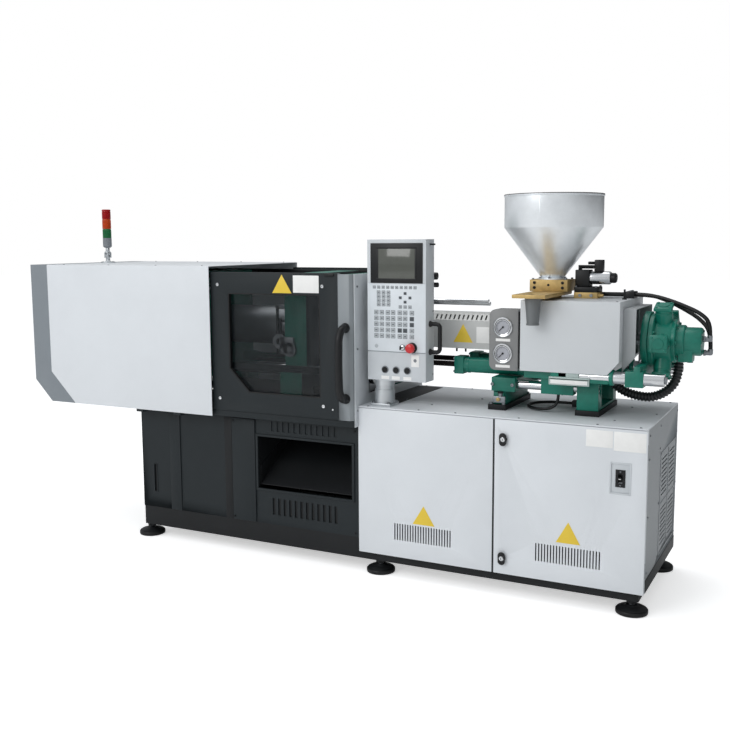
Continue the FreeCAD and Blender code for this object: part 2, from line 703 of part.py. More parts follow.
def moving_platen():
    """Make the platen that carries the moving half of the mould."""
    plate, bores = platen("moving_left", "moving_right", "deck_high+shoe_gap", "bar_fit")
    return cut(plate, *bores, rod("X", CENTRE, ("moving_left-1", "moving_right+1"), "ejector_radius+bar_fit"),
               *mould_holes("moving_right-mould_depth", "moving_right+1"))


def tail_platen():
    """Make the platen that carries the clamp cylinder."""
    plate, bores = platen("tail_left", "tail_right", "deck_high", "seat_fit")
    return cut(plate, *bores, rod("X", CENTRE, ("tail_left-1", "tail_right+1"), "nose_radius+seat_fit"))


def tie_bars():
    """Make the four tie bars with a nut at each end."""
    pieces = []
    for at in BAR_PLACES:
        pieces.append(rod("X", at, ("tail_left-rear_nut-5", "base_right+front_nut+3"), "bar_radius"))
        for left, right in (("tail_left-rear_nut", "tail_left"), ("base_right", "base_right+front_nut")):
            pieces.append(cut(rod("X", at, (left, right), "nut_radius"),
                              rod("X", at, (left + "-1", right + "+1"), "bar_radius+seat_fit")))
    return group(*pieces)


def clamp_cylinder():
    """Make the clamp cylinder: barrel, flange and the nose that sits in the tail platen."""
    body = join(rod("X", CENTRE, ("cylinder_left", "tail_left"), "cylinder_radius"),
                rod("X", CENTRE, ("tail_left-30", "tail_left"), "cylinder_radius+20"),
                rod("X", CENTRE, ("tail_left-1", "tail_right"), "nose_radius"))
    return cut(body, rod("X", CENTRE, ("cylinder_left+20", "tail_left-40"), "chamber_radius"),
               rod("X", CENTRE, ("tail_left-41", "tail_right+1"), "ram_radius+bar_fit"))


def clamp_ram():
    """Make the clamp ram with its piston head and the pocket for the ejector."""
    body = join(rod("X", CENTRE, ("ram_left", "moving_left"), "ram_radius"),
                rod("X", CENTRE, ("ram_left", "ram_left+50"), "chamber_radius-0.3"))
    return cut(body, rod("X", CENTRE, ("ejector_left-15", "moving_left+1"), "ejector_head+4"))


def ejector_rod():
    """Make the ejector rod with its head."""
    return join(rod("X", CENTRE, ("ejector_left", "moving_right-2"), "ejector_radius"),
                rod("X", CENTRE, ("ejector_left", "ejector_left+20"), "ejector_head"))


# ---------------------------------------------------------------- safety gates

def gate_rails():
    """Make the upper and lower rails that both gates run on."""
    rails = []
    for sign in ("-", ""):
        top = [block(("gate_rail_left", "gate_right-4"), span_out(sign, "top_rail_in", "top_rail_out"),
                     ("gate_high-28", "gate_high-8"))]
        for left in ("fixed_left+10", "tail_left+10"):
            top.append(block((left, left + "+90"), span_out(sign, "platen_half", "top_rail_in"),
                             ("gate_high-28", "axis_z+platen_half-2")))
        rails.append(join(*top))
        rails.append(join(block(("gate_rail_left", "gate_right"), span_out(sign, "bed_half-9", "gate_face-6"),
                                ("deck_high", "deck_high+6")),
                          block(("gate_rail_left", "gate_right"), span_out(sign, "gate_face-17", "gate_face-6"),
                                ("deck_high", "gate_low-shoe_gap"))))
    return group(*rails)


def window_outline(lap):
    """Give the outline of the gate window, grown by a lap."""
    return [("window_left-(%s)" % lap, "window_high+(%s)" % lap), ("window_right+(%s)" % lap, "window_high+(%s)" % lap),
            ("window_right+(%s)" % lap, "window_low-(%s)" % lap),
            ("window_left+window_bevel-0.4142*(%s)" % lap, "window_low-(%s)" % lap),
            ("window_left-(%s)" % lap, "window_low+window_bevel-0.4142*(%s)" % lap)]


def gate_frame():
    """Make the front gate's sheet with its window opening, hangers and folded edge strip."""
    sheet_part = block(("gate_left", "gate_seam"), ("-gate_face", "-gate_face+gate_thick"), ("gate_low", "gate_high"))
    opening = outline("XZ", window_outline("0"), ("-gate_face-1", "-gate_face+gate_thick+1"))
    hangers = [block((left, left + "+40"), ("-gate_face+gate_thick-1", "-top_rail_out-shoe_gap"),
                     ("gate_high-26", "gate_high-10")) for left in ("gate_left+20", "gate_seam-50")]
    plate = cut(join(sheet_part, *hangers), opening)
    strip = outline("XY", [("gate_seam", "-gate_face"), ("gate_right-12", "-gate_face"),
                           ("gate_right", "-gate_face+12"), ("gate_right", "-gate_face+34"),
                           ("gate_right-strip_sheet", "-gate_face+34"),
                           ("gate_right-strip_sheet", "-gate_face+12+0.4142*strip_sheet"),
                           ("gate_right-12-0.4142*strip_sheet", "-gate_face+strip_sheet"),
                           ("gate_seam", "-gate_face+strip_sheet")], ("gate_low", "gate_high-4"))
    return plate, strip


def gate_window():
    """Make the clear pane behind the gate's opening."""
    return outline("XZ", window_outline("window_lap"),
                   ("-gate_face+gate_thick", "-gate_face+gate_thick+window_pane"))


def gate_handle():
    """Bend the bow handle of a gate."""
    x, face = number("handle_x"), -number("gate_face")
    low, high = number("gate_low") + 93, number("gate_high") - 225
    points = [(x, face, high), (x, face - 38, high), (x, face - 61, high - 36), (x, face - 66, high - 148),
              (x, face - 61, low + 36), (x, face - 38, low), (x, face, low)]
    return tube("gate_handle", points, number("handle_radius"))


def nozzle_guard():
    """Make the upright guard between the gates and the barrel."""
    plate = block(("base_right", "base_right+guard_sheet"), ("-gate_face+16", "gate_face-16"),
                  ("deck_high", "gate_high-4"))
    return cut(plate, block(("base_right-1", "base_right+guard_sheet+1"), ("-guard_open", "guard_open"),
                            ("axis_z-platen_half-5", "axis_z+bar_offset+nut_radius+5")))


# ---------------------------------------------------------------- operator panel

PIVOT = ("post_x", "post_y")


def pedestal():
    """Make the post that carries the operator panel, with its pivot."""
    return join(block(("post_x-45", "post_x+45"), ("post_y-45", "post_y+45"), ("cabinet_high", "cabinet_high+12")),
                rod("Z", PIVOT, ("cabinet_high+12", "post_high-16"), "post_radius"),
                rod("Z", PIVOT, ("post_high-16", "post_high"), "post_radius-4"),
                rod("Z", PIVOT, ("post_high", "post_high+20"), "pivot_radius"))


def panel_housing():
    """Make the panel's case, open to its front, with the socket that turns on the post."""
    case = block(("panel_left", "panel_right"), ("panel_front+panel_wall", "panel_rear"), ("panel_low", "panel_high"))
    hollow = block(("panel_left+panel_wall", "panel_right-panel_wall"), ("panel_front", "panel_rear-panel_wall"),
                   ("panel_low+panel_wall", "panel_high-panel_wall"))
    socket = cut(rod("Z", PIVOT, ("post_high+shoe_gap", "panel_low"), "post_radius-1"),
                 rod("Z", PIVOT, ("post_high-1", "post_high+21"), "pivot_radius+bar_fit"))
    return join(cut(case, hollow), socket)


FASCIA = ("panel_front-1", "panel_front+panel_wall+1")


def panel_fascia():
    """Make the front plate of the panel with the display bezel."""
    plate = block(("panel_left", "panel_right"), ("panel_front", "panel_front+panel_wall"),
                  ("panel_low", "panel_high"))
    holes = [rod("Y", ("stop_x", "stop_z"), FASCIA, "stop_radius+panel_fit"),
             rod("Y", ("key_x", "stop_z"), FASCIA, "key_radius+panel_fit")]
    for i in range(3):
        holes.append(rod("Y", ("button_first+%d*button_pitch" % i, "button_z"), FASCIA,
                         "button_radius+panel_fit"))
    bezel = block(("panel_left+16", "panel_right-14"), ("panel_front-3", "panel_front"),
                  ("panel_high-177", "panel_high-15"))
    return group(cut(plate, *holes), bezel)


def panel_handle():
    """Bend the handle on the side of the panel."""
    x, y = number("panel_right"), number("(panel_front+panel_rear)/2")
    low, high = number("panel_low") + 122, number("panel_low") + 237
    points = [(x, y, high), (x + 44, y, high), (x + 44, y, low), (x, y, low)]
    return tube("panel_handle", points, 6.5, 0.35)


def estop_button():
    """Make the mushroom head and stem of the emergency stop."""
    at = ("stop_x", "stop_z")
    return join(rod("Y", at, ("panel_front-18", "panel_front+10"), "stop_radius"),
                rod("Y", at, ("panel_front-30", "panel_front-16"), "20"),
                taper("Y", at, ("panel_front-35", "panel_front-30"), "15", "20"))


def push_button(index):
    """Make one of the three push buttons."""
    return rod("Y", ("button_first+%d*button_pitch" % index, "button_z"), ("panel_front-6", "panel_front+8"),
               "button_radius")


def key_switch():
    """Make the lock's turning plug with its key."""
    at = ("key_x", "stop_z")
    return join(rod("Y", at, ("panel_front-6", "panel_front+10"), "key_radius"),
                block(("key_x-1.2", "key_x+1.2"), ("panel_front-30", "panel_front-6"), ("stop_z-10", "stop_z+10")))


# ---------------------------------------------------------------- injection unit

GUIDES = [("-guide_y", "guide_z"), ("guide_y", "guide_z")]


def carriage_supports():
    """Make the base plates and castings that hold the carriage guides."""
    pieces = []
    bores = []
    for at in GUIDES:
        bores.append(rod("X", at, ("front_support-20", "rear_support_right+20"), "guide_radius+seat_fit"))
    base_z = ("cabinet_high", "cabinet_high+base_thick")
    pieces.append(block(("front_support-13", "front_support+62"), ("-170", "170"), base_z))
    pieces.append(block(("rear_support-5", "rear_support_right+5"), ("-160", "160"), base_z))
    front = join(block(("front_support+4", "front_support+55"), ("-150", "150"),
                       ("cabinet_high+base_thick", "guide_z-20")),
                 block(("front_support", "front_support_right"), ("-165", "165"), ("guide_z-28", "guide_z+28")))
    posts = []
    for sign in ("-", ""):
        posts.append(block(("rear_support", "rear_support_right"), span_out(sign, "guide_y-30", "guide_y+25"),
                           ("cabinet_high+base_thick", "guide_z+26")))
    rear = join(*posts, block(("rear_support", "rear_support_right"), ("-guide_y", "guide_y"),
                              ("cabinet_high+base_thick", "cabinet_high+base_thick+10")))
    return group(*pieces, cut(front, *bores), cut(rear, *bores))


def carriage_rods():
    """Make the carriage guides and the fixed rods of the seat cylinders."""
    pieces = [rod("X", at, ("front_support+3", "rear_support_right-3"), "guide_radius") for at in GUIDES]
    for y in ("-seat_y", "seat_y"):
        at = (y, "seat_z")
        pieces.append(join(rod("X", at, ("base_right", "seat_left+158"), "seat_rod"),
                           rod("X", at, ("seat_left+138", "seat_left+158"), "seat_bore-0.3")))
    return group(*pieces)


def seat_cylinders():
    """Make the two cylinders that pull the carriage to the mould."""
    pieces = []
    for y in ("-seat_y", "seat_y"):
        at = (y, "seat_z")
        body = join(rod("X", at, ("seat_left+gland_long-1", "housing_left"), "seat_tube"),
                    block(("seat_left", "seat_left+gland_long"), (y + "-35", y + "+35"), ("seat_z-36", "seat_z+36")))
        pieces.append(cut(body, rod("X", at, ("seat_left+gland_long", "housing_left-20"), "seat_bore"),
                          rod("X", at, ("seat_left-1", "seat_left+gland_long+1"), "seat_rod+bar_fit")))
    return group(*pieces)


def injection_housing():
    """Cast the housing that holds the barrel, with its legs, ears and injection guide rods."""
    body = [block(("housing_left", "housing_right"), ("-housing_half", "housing_half"),
                  ("housing_low", "housing_high"))]
    bores = [rod("X", CENTRE, ("housing_left-1", "housing_right+1"), "barrel_radius+seat_fit"),
             rod("Z", ("hopper_x", "0"), ("axis_z", "housing_high+1"), "feed_radius")]
    for sign in ("-", ""):
        body.append(block(("leg_left", "leg_right"), span_out(sign, "guide_y-25", "guide_y+25"),
                          ("guide_z-28", "housing_low+10")))
        body.append(block(("housing_right-60", "housing_right"), span_out(sign, "housing_half-10",
                          "white_half-cabinet_sheet"), ("rod_z-28", "rod_z+32")))
    for at in GUIDES:
        bores.append(rod("X", at, ("leg_left-1", "leg_right+1"), "guide_radius+bar_fit"))
    rods = [rod("X", (y, "rod_z"), ("housing_right", "rod_right"), "rod_radius") for y in ("-rod_y", "rod_y")]
    return group(cut(join(*body), *bores), *rods)


def barrel():
    """Make the barrel with its nozzle, and the heater bands round it."""
    tube_part = join(rod("X", CENTRE, ("barrel_left", "housing_right"), "barrel_radius"),
                     taper("X", CENTRE, ("barrel_left-28", "barrel_left"), "18", "barrel_radius-6"),
                     rod("X", CENTRE, ("nozzle_left+14", "barrel_left-27"), "18"),
                     taper("X", CENTRE, ("nozzle_left", "nozzle_left+14"), "7", "16"))
    bored = cut(tube_part, rod("X", CENTRE, ("barrel_left-10", "housing_right+1"), "screw_radius"),
                rod("X", CENTRE, ("nozzle_left-1", "barrel_left-9"), "2.5"),
                rod("Z", ("hopper_x", "0"), ("axis_z", "axis_z+barrel_radius+1"), "feed_radius-4"))
    bands = []
    for i in range(4):
        left = "band_first+%d*band_pitch" % i
        ring = rod("X", CENTRE, (left, left + "+band_long"), "barrel_radius+band_wall")
        bands.append(cut(ring, rod("X", CENTRE, (left + "-1", left + "+band_long+1"), "barrel_radius+seat_fit")))
    return group(bored, *bands)


def barrel_cover():
    """Fold the cover over the heated barrel, with slots along its bevel."""
    def profile(inset, drop):
        half, knee = "barrel_cover_half-" + inset, "barrel_cover_bevel-0.5858*" + inset
        left = [("-(%s)" % half, "barrel_cover_low-" + drop), ("-(%s)" % half, "barrel_cover_high-%s-(%s)" % (inset, knee)),
                ("-(%s)+(%s)" % (half, knee), "barrel_cover_high-" + inset)]
        return left + [("-(%s)" % a, b) for a, b in reversed(left)]
    outer = outline("YZ", profile("0", "0"), ("barrel_left", "housing_left"))
    inner = outline("YZ", profile("thin_sheet", "1"), ("barrel_left-1", "housing_left+1"))
    slots = []
    for i in range(20):
        left = "barrel_left+14+%d*20" % i
        slots.append(block((left, left + "+7"), ("-barrel_cover_half-1", "-barrel_cover_half+barrel_cover_bevel"),
                           ("barrel_cover_high-barrel_cover_bevel+3", "barrel_cover_high-3")))
    return cut(outer, inner, *slots)


def gauge_panel():
    """Fold the gauge panel and set the two gauge cases in it."""
    face = "-white_half"
    pan = block(("gauge_left", "gauge_right"), (face, "gauge_rear"), ("gauge_low", "gauge_high"))
    hollow = block(("gauge_left+thin_sheet", "gauge_right-thin_sheet"), (face + "+thin_sheet", "gauge_rear+1"),
                   ("gauge_low+thin_sheet", "gauge_high-thin_sheet"))
    spacer = block(("gauge_right", "white_left"), (face + "+12", "gauge_rear-6"), ("gauge_low+9", "gauge_high-9"))
    cases, holes = [], []
    for z in ("gauge_upper_z", "gauge_lower_z"):
        at = ("gauge_x", z)
        holes.append(rod("Y", at, (face + "-1", face + "+thin_sheet+1"), "gauge_radius+seat_fit"))
        case = join(rod("Y", at, (face + "-9", face), "bezel_radius"),
                    rod("Y", at, (face + "-1", face + "+30"), "gauge_radius"))
        cases.append(cut(case, rod("Y", at, (face + "-10", face + "+2"), "gauge_radius-2"),
                         rod("Y", at, (face + "+1", face + "+14"), "2+bar_fit")))
    return group(cut(join(pan, spacer), hollow, *holes), *cases)


def needle(z):
    """Make a gauge's needle with its spindle."""
    at = ("gauge_x", z)
    return join(rod("Y", at, ("-white_half-5", "-white_half+10"), "2"),
                rod("Y", at, ("-white_half-5", "-white_half-2"), "4"),
                outline("XZ", [("gauge_x-0.9", z + "+0.9"), ("gauge_x+0.9", z + "-0.9"), ("gauge_x-16", z + "-17.8"),
                               ("gauge_x-17.8", z + "-16")], ("-white_half-4", "-white_half-2.5")))


def injection_cover():
    """Fold the cover of the injection unit."""
    def side(inset, grow):
        return [("white_left+(%s)" % inset, "white_high-(%s)" % inset), ("white_right-(%s)" % inset, "white_high-(%s)" % inset),
                ("white_right-(%s)" % inset, "white_low+white_bevel_z-0.3*(%s)" % inset),
                ("white_right-white_bevel_x-(%s)-(%s)" % (inset, grow), "white_low-(%s)" % grow),
                ("white_left+(%s)" % inset, "white_low-(%s)" % grow)]
    outer = outline("XZ", side("0", "0"), ("-white_half", "white_half"))
    inner = outline("XZ", side("cabinet_sheet", "1"), ("-white_half+cabinet_sheet", "white_half-cabinet_sheet"))
    end_hole = block(("white_right-cabinet_sheet-1", "white_right+1"), ("-inner_half+5", "inner_half-5"),
                     ("white_low-1", "inner_high-5"))
    front_hole = block(("white_left-1", "white_left+cabinet_sheet+1"), ("-barrel_cover_half-5", "barrel_cover_half+5"),
                       ("white_low-1", "barrel_cover_high+5"))
    seat_hole = block(("white_left-1", "white_left+cabinet_sheet+1"), ("-seat_y-40", "seat_y+40"),
                      ("white_low-1", "seat_z+40"))
    throat = rod("Z", ("hopper_x", "0"), ("white_high-cabinet_sheet-1", "white_high+1"), "feed_radius+15.5")
    rod_holes = [rod("X", (y, "rod_z"), ("white_right-cabinet_sheet-60", "white_right+1"), "rod_radius+3")
                 for y in ("-rod_y", "rod_y")]
    return cut(outer, inner, end_hole, front_hole, seat_hole, throat, *rod_holes)


def inner_cover():
    """Fold the inner cover that closes the injection unit towards the motor."""
    def side(inset, grow):
        return [("white_right-(%s)" % grow, "inner_high-(%s)" % inset), ("inner_right+(%s)" % grow, "inner_high-(%s)" % inset),
                ("inner_right+(%s)" % grow, "white_low+66-(%s)" % grow), ("white_right-(%s)" % grow, "white_low+8-(%s)" % grow)]
    outer = outline("XZ", side("0", "0"), ("-inner_half", "inner_half"))
    inner = outline("XZ", side("cabinet_sheet", "1"), ("-inner_half+cabinet_sheet", "inner_half-cabinet_sheet"))
    lower = outline("XZ", [("white_right-1", "white_low-90"), ("inner_right+1", "white_low-30"),
                           ("inner_right+1", "white_low+66"), ("white_right-1", "white_low+8")],
                    ("-inner_half+cabinet_sheet", "inner_half-cabinet_sheet"))
    return cut(outer, inner, lower)


def thrust_plate():
    """Make the plate that pushes the screw, with the bushings that slide on the guide rods."""
    plate = [rod("X", CENTRE, ("thrust_left", "thrust_right"), "thrust_radius"),
             block(("thrust_left", "thrust_right"), ("-rod_y-30", "rod_y+30"), ("rod_z-20", "rod_z+50"))]
    for y in ("-rod_y", "rod_y"):
        plate.append(block(("bush_left", "bush_right"), (y + "-30", y + "+30"), ("rod_z-30", "rod_z+30")))
    bores = [rod("X", (y, "rod_z"), ("bush_left-1", "bush_right+1"), "rod_radius+bar_fit")
             for y in ("-rod_y", "rod_y")]
    return cut(join(*plate), *bores, rod("X", CENTRE, ("thrust_left-1", "thrust_right+1"), "screw_radius"))


def hydraulic_motor():
    """Make the radial piston motor with its five lobes, distributor and ports."""
    body = [rod("X", CENTRE, ("thrust_right", "motor_case"), "motor_radius"),
            rod("X", CENTRE, ("thrust_right", "thrust_right+20"), "thrust_radius-8"),
            rod("X", CENTRE, ("motor_case", "motor_right"), "valve_radius"),
            rod("X", CENTRE, ("motor_case", "motor_case+30"), "valve_radius+8"),
            block(("motor_case+8", "motor_case+62"), ("-44", "20"), ("axis_z-valve_radius-22", "axis_z-20")),
            rod("Z", ("motor_case", "44"), ("axis_z-85", "axis_z-40"), "conduit_radius+3")]
    for y, z in (("8", "axis_z+10"), ("34", "axis_z-45")):
        body.append(rod("X", (y, z), ("motor_right-1", "motor_right+25"), "hose_radius+2"))
        body.append(rod("Z", ("motor_right+25", y), (z, z + "+15"), "hose_radius+2"))
    for i in range(5):
        angle = math.radians(72 * i)
        ahead = Vector(0, -math.cos(angle), math.sin(angle))
        turn = FreeCAD.Rotation(Vector(0, 0, 1), ahead)
        square = FreeCAD.Rotation(ahead, 45 if i == 0 else 0)
        lobe = doc.addObject("Part::Cylinder", "Lobe")
        lobe.Placement = FreeCAD.Placement(Vector(), turn)
        place(lobe, "motor_lobe_x", "0", "axis_z")
        bind(lobe, Radius="lobe_radius", Height="lobe_reach-cap_thick")
        cap = doc.addObject("Part::Prism", "Cap")
        cap.Polygon = 4
        cap.Placement = FreeCAD.Placement(Vector(), square_turn(turn))
        place(cap, "motor_lobe_x", "(%.6f)*(lobe_reach-cap_thick)" % ahead.y,
              "axis_z+(%.6f)*(lobe_reach-cap_thick)" % ahead.z)
        bind(cap, Circumradius="cap_corner", Height="cap_thick")
        body += [lobe, cap]
    return join(*body)


def square_turn(turn):
    """Turn a square cap so that its sides lie along the motor."""
    corner = turn.multVec(Vector(1, 0, 0))
    side = turn.multVec(Vector(0, 1, 0))
    angle = math.degrees(math.atan2(side.x, corner.x))
    return turn.multiply(FreeCAD.Rotation(Vector(0, 0, 1), angle + 45))


def screw():
    """Make the plasticising screw with its tip and drive shank."""
    return join(rod("X", CENTRE, ("barrel_left+40", "thrust_right-shoe_gap"), "screw_radius-bar_fit"),
                taper("X", CENTRE, ("barrel_left+12", "barrel_left+40"), "4", "screw_radius-2"))


def slide_plate():
    """Make the plate that the hopper slides on, its throat, and the discharge chute."""
    plate = join(block(("hopper_x-plate_half", "hopper_x+plate_half"), ("plate_front", "block_half_y"),
                       ("plate_low", "plate_high")),
                 rod("Z", ("hopper_x", "0"), ("housing_high", "plate_low+1"), "feed_radius+15"))
    drain = ("hopper_x", "drain_y")
    holes = [rod("Z", ("hopper_x", "0"), ("housing_high-1", "plate_high+1"), "feed_radius"),
             rod("Z", drain, ("plate_low-1", "plate_high+1"), "feed_radius")]
    chute = cut(join(taper("Z", drain, ("plate_low-100", "plate_low"), "feed_radius+1", "feed_radius+10"),
                     rod("Z", drain, ("plate_low-106", "plate_low-99"), "feed_radius+3")),
                taper("Z", drain, ("plate_low-107", "plate_low+1"), "feed_radius-2", "feed_radius+7"))
    return group(cut(plate, *holes), chute)


def feed_block():
    """Make the block that carries the hopper along the slide plate."""
    body = block(("hopper_x-block_half_x", "hopper_x+block_half_x"), ("-block_half_y", "block_half_y"),
                 ("plate_high+shoe_gap", "block_high"))
    return cut(body, rod("Z", ("hopper_x", "0"), ("plate_high-1", "block_high+1"), "feed_radius"))


def hopper():
    """Roll the hopper from sheet, with its flange and rim."""
    at = ("hopper_x", "0")
    outer = join(rod("Z", at, ("block_high", "block_high+5"), "outlet_radius+14"),
                 taper("Z", at, ("block_high+5", "hopper_knee"), "outlet_radius", "hopper_radius"),
                 rod("Z", at, ("hopper_knee", "hopper_top"), "hopper_radius"),
                 rod("Z", at, ("hopper_top-6", "hopper_top"), "hopper_radius+3"))
    inner = join(taper("Z", at, ("block_high+5", "hopper_knee"), "outlet_radius-hopper_sheet",
                       "hopper_radius-hopper_sheet"),
                 rod("Z", at, ("hopper_knee", "hopper_top+1"), "hopper_radius-hopper_sheet"),
                 rod("Z", at, ("block_high-1", "block_high+6"), "feed_radius"))
    return cut(outer, inner)


def hopper_lid():
    """Make the lid that rests on the hopper's rim, with its rib and knob."""
    at = ("hopper_x", "0")
    return join(rod("Z", at, ("hopper_top+shoe_gap", "hopper_top+lid_thick"), "hopper_radius+3"),
                rod("Z", at, ("hopper_top-8", "hopper_top+1"), "hopper_radius-hopper_sheet-2"))


def pressure_valve():
    """Make the valve block on the injection cover: manifold, valve, solenoid and hose clamp."""
    at = ("20", "white_high+81")
    left = "hopper_x+block_half_x+17"
    manifold = block((left, left + "+95"), ("-25", "65"), ("white_high", "white_high+45"))
    valve = block((left, left + "+57"), ("-10", "50"), ("white_high+45", "white_high+113"))
    solenoid = rod("X", at, (left + "+57", left + "+137"), "26")
    plug = join(rod("X", at, (left + "+137", left + "+163"), "20"))
    connector = block((left + "+73", left + "+107"), ("3", "37"), ("white_high+106", "white_high+153"))
    clamp = block(("white_right-37", "white_right"), ("35", "105"), ("white_high", "white_high+27"))
    return group(manifold, valve, cut(solenoid, connector), plug, connector, clamp)


# ---------------------------------------------------------------- signal tower

def tower_base():
    """Make the foot and fork of the signal tower, with its pivot pin."""
    at = ("tower_x", "tower_y")
    ears = []
    for low, high in (("tower_y-14", "tower_y-8"), ("tower_y+8", "tower_y+14")):
        ears.append(join(block(("tower_x-12", "tower_x+12"), (low, high), ("tower_pivot-22", "tower_pivot")),
                         rod("Y", ("tower_x", "tower_pivot"), (low, high), "12")))
    return join(rod("Z", at, ("cover_high", "cover_high+6"), "35"),
                rod("Z", at, ("cover_high+6", "tower_pivot-21"), "11"),
                block(("tower_x-12", "tower_x+12"), ("tower_y-14", "tower_y+14"), ("tower_pivot-22", "tower_pivot-15")),
                *ears, rod("Y", ("tower_x", "tower_pivot"), ("tower_y-13", "tower_y+13"), "4"))


def signal_tower():
    """Make the lamp stack with the tongue that turns in the fork."""
    tongue = join(rod("Y", ("tower_x", "tower_pivot"), ("tower_y-7.7", "tower_y+7.7"), "11.5"),
                  block(("tower_x-8", "tower_x+8"), ("tower_y-7.7", "tower_y+7.7"), ("tower_pivot", "tower_low")))
    bored = cut(tongue, rod("Y", ("tower_x", "tower_pivot"), ("tower_y-9", "tower_y+9"), "4+bar_fit"))
    return join(bored, rod("Z", ("tower_x", "tower_y"), ("tower_low", "tower_high"), "tower_radius"))


# ---------------------------------------------------------------- hoses and cables

HOSE_UPPER = [(1262, 58, 1187), (1320, 58, 1187), (1390, 40, 1172), (1460, 25, 1148), (1518, 14, 1124),
              (1557, 8, 1088), (1557, 8, 1040)]
HOSE_LOWER = [(1262, 84, 1187), (1318, 84, 1187), (1388, 76, 1164), (1452, 62, 1134), (1515, 48, 1098),
              (1557, 34, 1050), (1557, 34, 985)]
CONDUIT = [(1060, 44, 885), (1122, 44, 885), (1176, 44, 836), (1228, 44, 798), (1284, 44, 782), (1347, 44, 780),
           (1406, 44, 812), (1440, 44, 868), (1440, 44, 930)]
SENSOR_CABLE = [(1010, -130, 798), (1010, -130, 764), (986, -137, 738), (940, -136, 731), (894, -112, 730),
                (864, -66, 730), (862, -14, 730), (884, 26, 731), (932, 48, 732), (980, 47, 733), (1022, 47, 733)]


# ---------------------------------------------------------------- the machine

node("bed_frame", bed_frame())
node("levelling_feet", levelling_feet())
node("base_panels", group(base_panels(), parts_chute()))
node("cabinet_shell", group(cabinet_shell(), cabinet_end_panel()))
node("cabinet_top_plate", cabinet_top())
node("cabinet_left_panel", cabinet_left_panel())
node("cabinet_door", cabinet_door())
node("latch_upper", latch("latch_upper_z"))
node("latch_lower", latch("latch_lower_z"))
node("breaker_toggle", breaker_toggle())

cover, end_cap = cover_pieces()
node("clamp_cover", cover)
node("cover_end_cap", end_cap)
node("fixed_platen", fixed_platen())
node("tail_platen", tail_platen())
node("tie_bars", tie_bars())
node("clamp_cylinder", clamp_cylinder())
node("moving_platen", moving_platen())
node("clamp_ram", clamp_ram())
node("ejector_rod", ejector_rod())

node("gate_rails", gate_rails())
node("nozzle_guard", nozzle_guard())
frame, strip = gate_frame()
window = gate_window()
handle = gate_handle()
gate = group(frame, strip)
node("front_gate_frame", gate)
node("front_gate_window", window)
node("front_gate_handle", handle)
node("rear_gate_frame", group(mirrored(gate), mirrored(handle)))
node("rear_gate_window", mirrored(window))

node("pedestal", pedestal())
node("panel_housing", panel_housing())
node("panel_fascia", panel_fascia())
node("panel_handle", panel_handle())
node("estop_button", estop_button())
for index, side_name in enumerate(("left", "middle", "right")):
    node("push_button_" + side_name, push_button(index))
node("key_switch", key_switch())

node("carriage_supports", carriage_supports())
node("carriage_rods", carriage_rods())
node("seat_cylinders", seat_cylinders())
node("injection_housing", injection_housing())
node("barrel", barrel())
node("barrel_cover", barrel_cover())
node("gauge_panel", gauge_panel())
node("needle_upper", needle("gauge_upper_z"))
node("needle_lower", needle("gauge_lower_z"))
node("injection_cover", injection_cover())
node("inner_cover", inner_cover())
node("slide_plate", slide_plate())
node("pressure_valve", pressure_valve())
node("feed_block", feed_block())
node("hopper", hopper())
node("hopper_lid", hopper_lid())
node("thrust_plate", thrust_plate())
node("hydraulic_motor", hydraulic_motor())
node("screw", screw())
node("tower_base", tower_base())
node("signal_tower", signal_tower())
node("hose_upper", tube("hose_upper", HOSE_UPPER, number("hose_radius")))
node("hose_lower", tube("hose_lower", HOSE_LOWER, number("hose_radius")))
node("conduit", tube("conduit", CONDUIT, number("conduit_radius")))
node("sensor_cable", tube("sensor_cable", SENSOR_CABLE, number("cable_radius")))

doc.recompute()
faults = [item.Name for item in doc.Objects if "Invalid" in item.State or "Error" in item.State]
faults += [item.Label for item in nodes if item.Shape.isNull() or not item.Shape.isValid()]
if faults:
    raise RuntimeError("these objects failed: " + ", ".join(faults))
os.makedirs("parts", exist_ok=True)
for item in nodes:
    item.Shape.exportStep(os.path.join("parts", item.Label + ".step"))
print("wrote %d nodes" % len(nodes))
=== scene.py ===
"""Looks of an injection moulding machine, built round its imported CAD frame.

Sizes in the classes are millimetres in the frame of the CAD: X along the machine, Y from the operator side to
the rear, Z up from the floor.
"""

import logging
import math
from dataclasses import dataclass, field
from enum import Enum
from typing import Callable, Iterable, Optional, Sequence

import bmesh
import bpy
from mathutils import Matrix, Vector
from mathutils.kdtree import KDTree


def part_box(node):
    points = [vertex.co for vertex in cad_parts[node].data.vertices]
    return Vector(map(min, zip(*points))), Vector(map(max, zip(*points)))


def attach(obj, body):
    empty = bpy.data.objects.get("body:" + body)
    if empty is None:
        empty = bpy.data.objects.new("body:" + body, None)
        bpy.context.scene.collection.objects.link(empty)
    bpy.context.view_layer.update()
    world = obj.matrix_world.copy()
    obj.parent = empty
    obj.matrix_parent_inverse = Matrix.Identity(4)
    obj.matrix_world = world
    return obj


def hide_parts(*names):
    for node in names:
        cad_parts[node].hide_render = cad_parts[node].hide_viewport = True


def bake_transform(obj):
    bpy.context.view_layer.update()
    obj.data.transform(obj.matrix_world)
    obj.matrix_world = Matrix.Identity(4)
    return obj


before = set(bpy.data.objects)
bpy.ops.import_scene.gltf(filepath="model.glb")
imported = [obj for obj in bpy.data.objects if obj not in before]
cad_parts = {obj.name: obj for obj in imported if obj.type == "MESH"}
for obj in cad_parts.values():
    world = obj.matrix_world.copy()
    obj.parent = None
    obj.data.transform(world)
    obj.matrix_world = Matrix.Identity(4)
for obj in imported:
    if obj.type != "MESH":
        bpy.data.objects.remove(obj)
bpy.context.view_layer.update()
MM = 0.001
Point = tuple[float, float, float]
Pair = tuple[float, float]
log = logging.getLogger("machine")


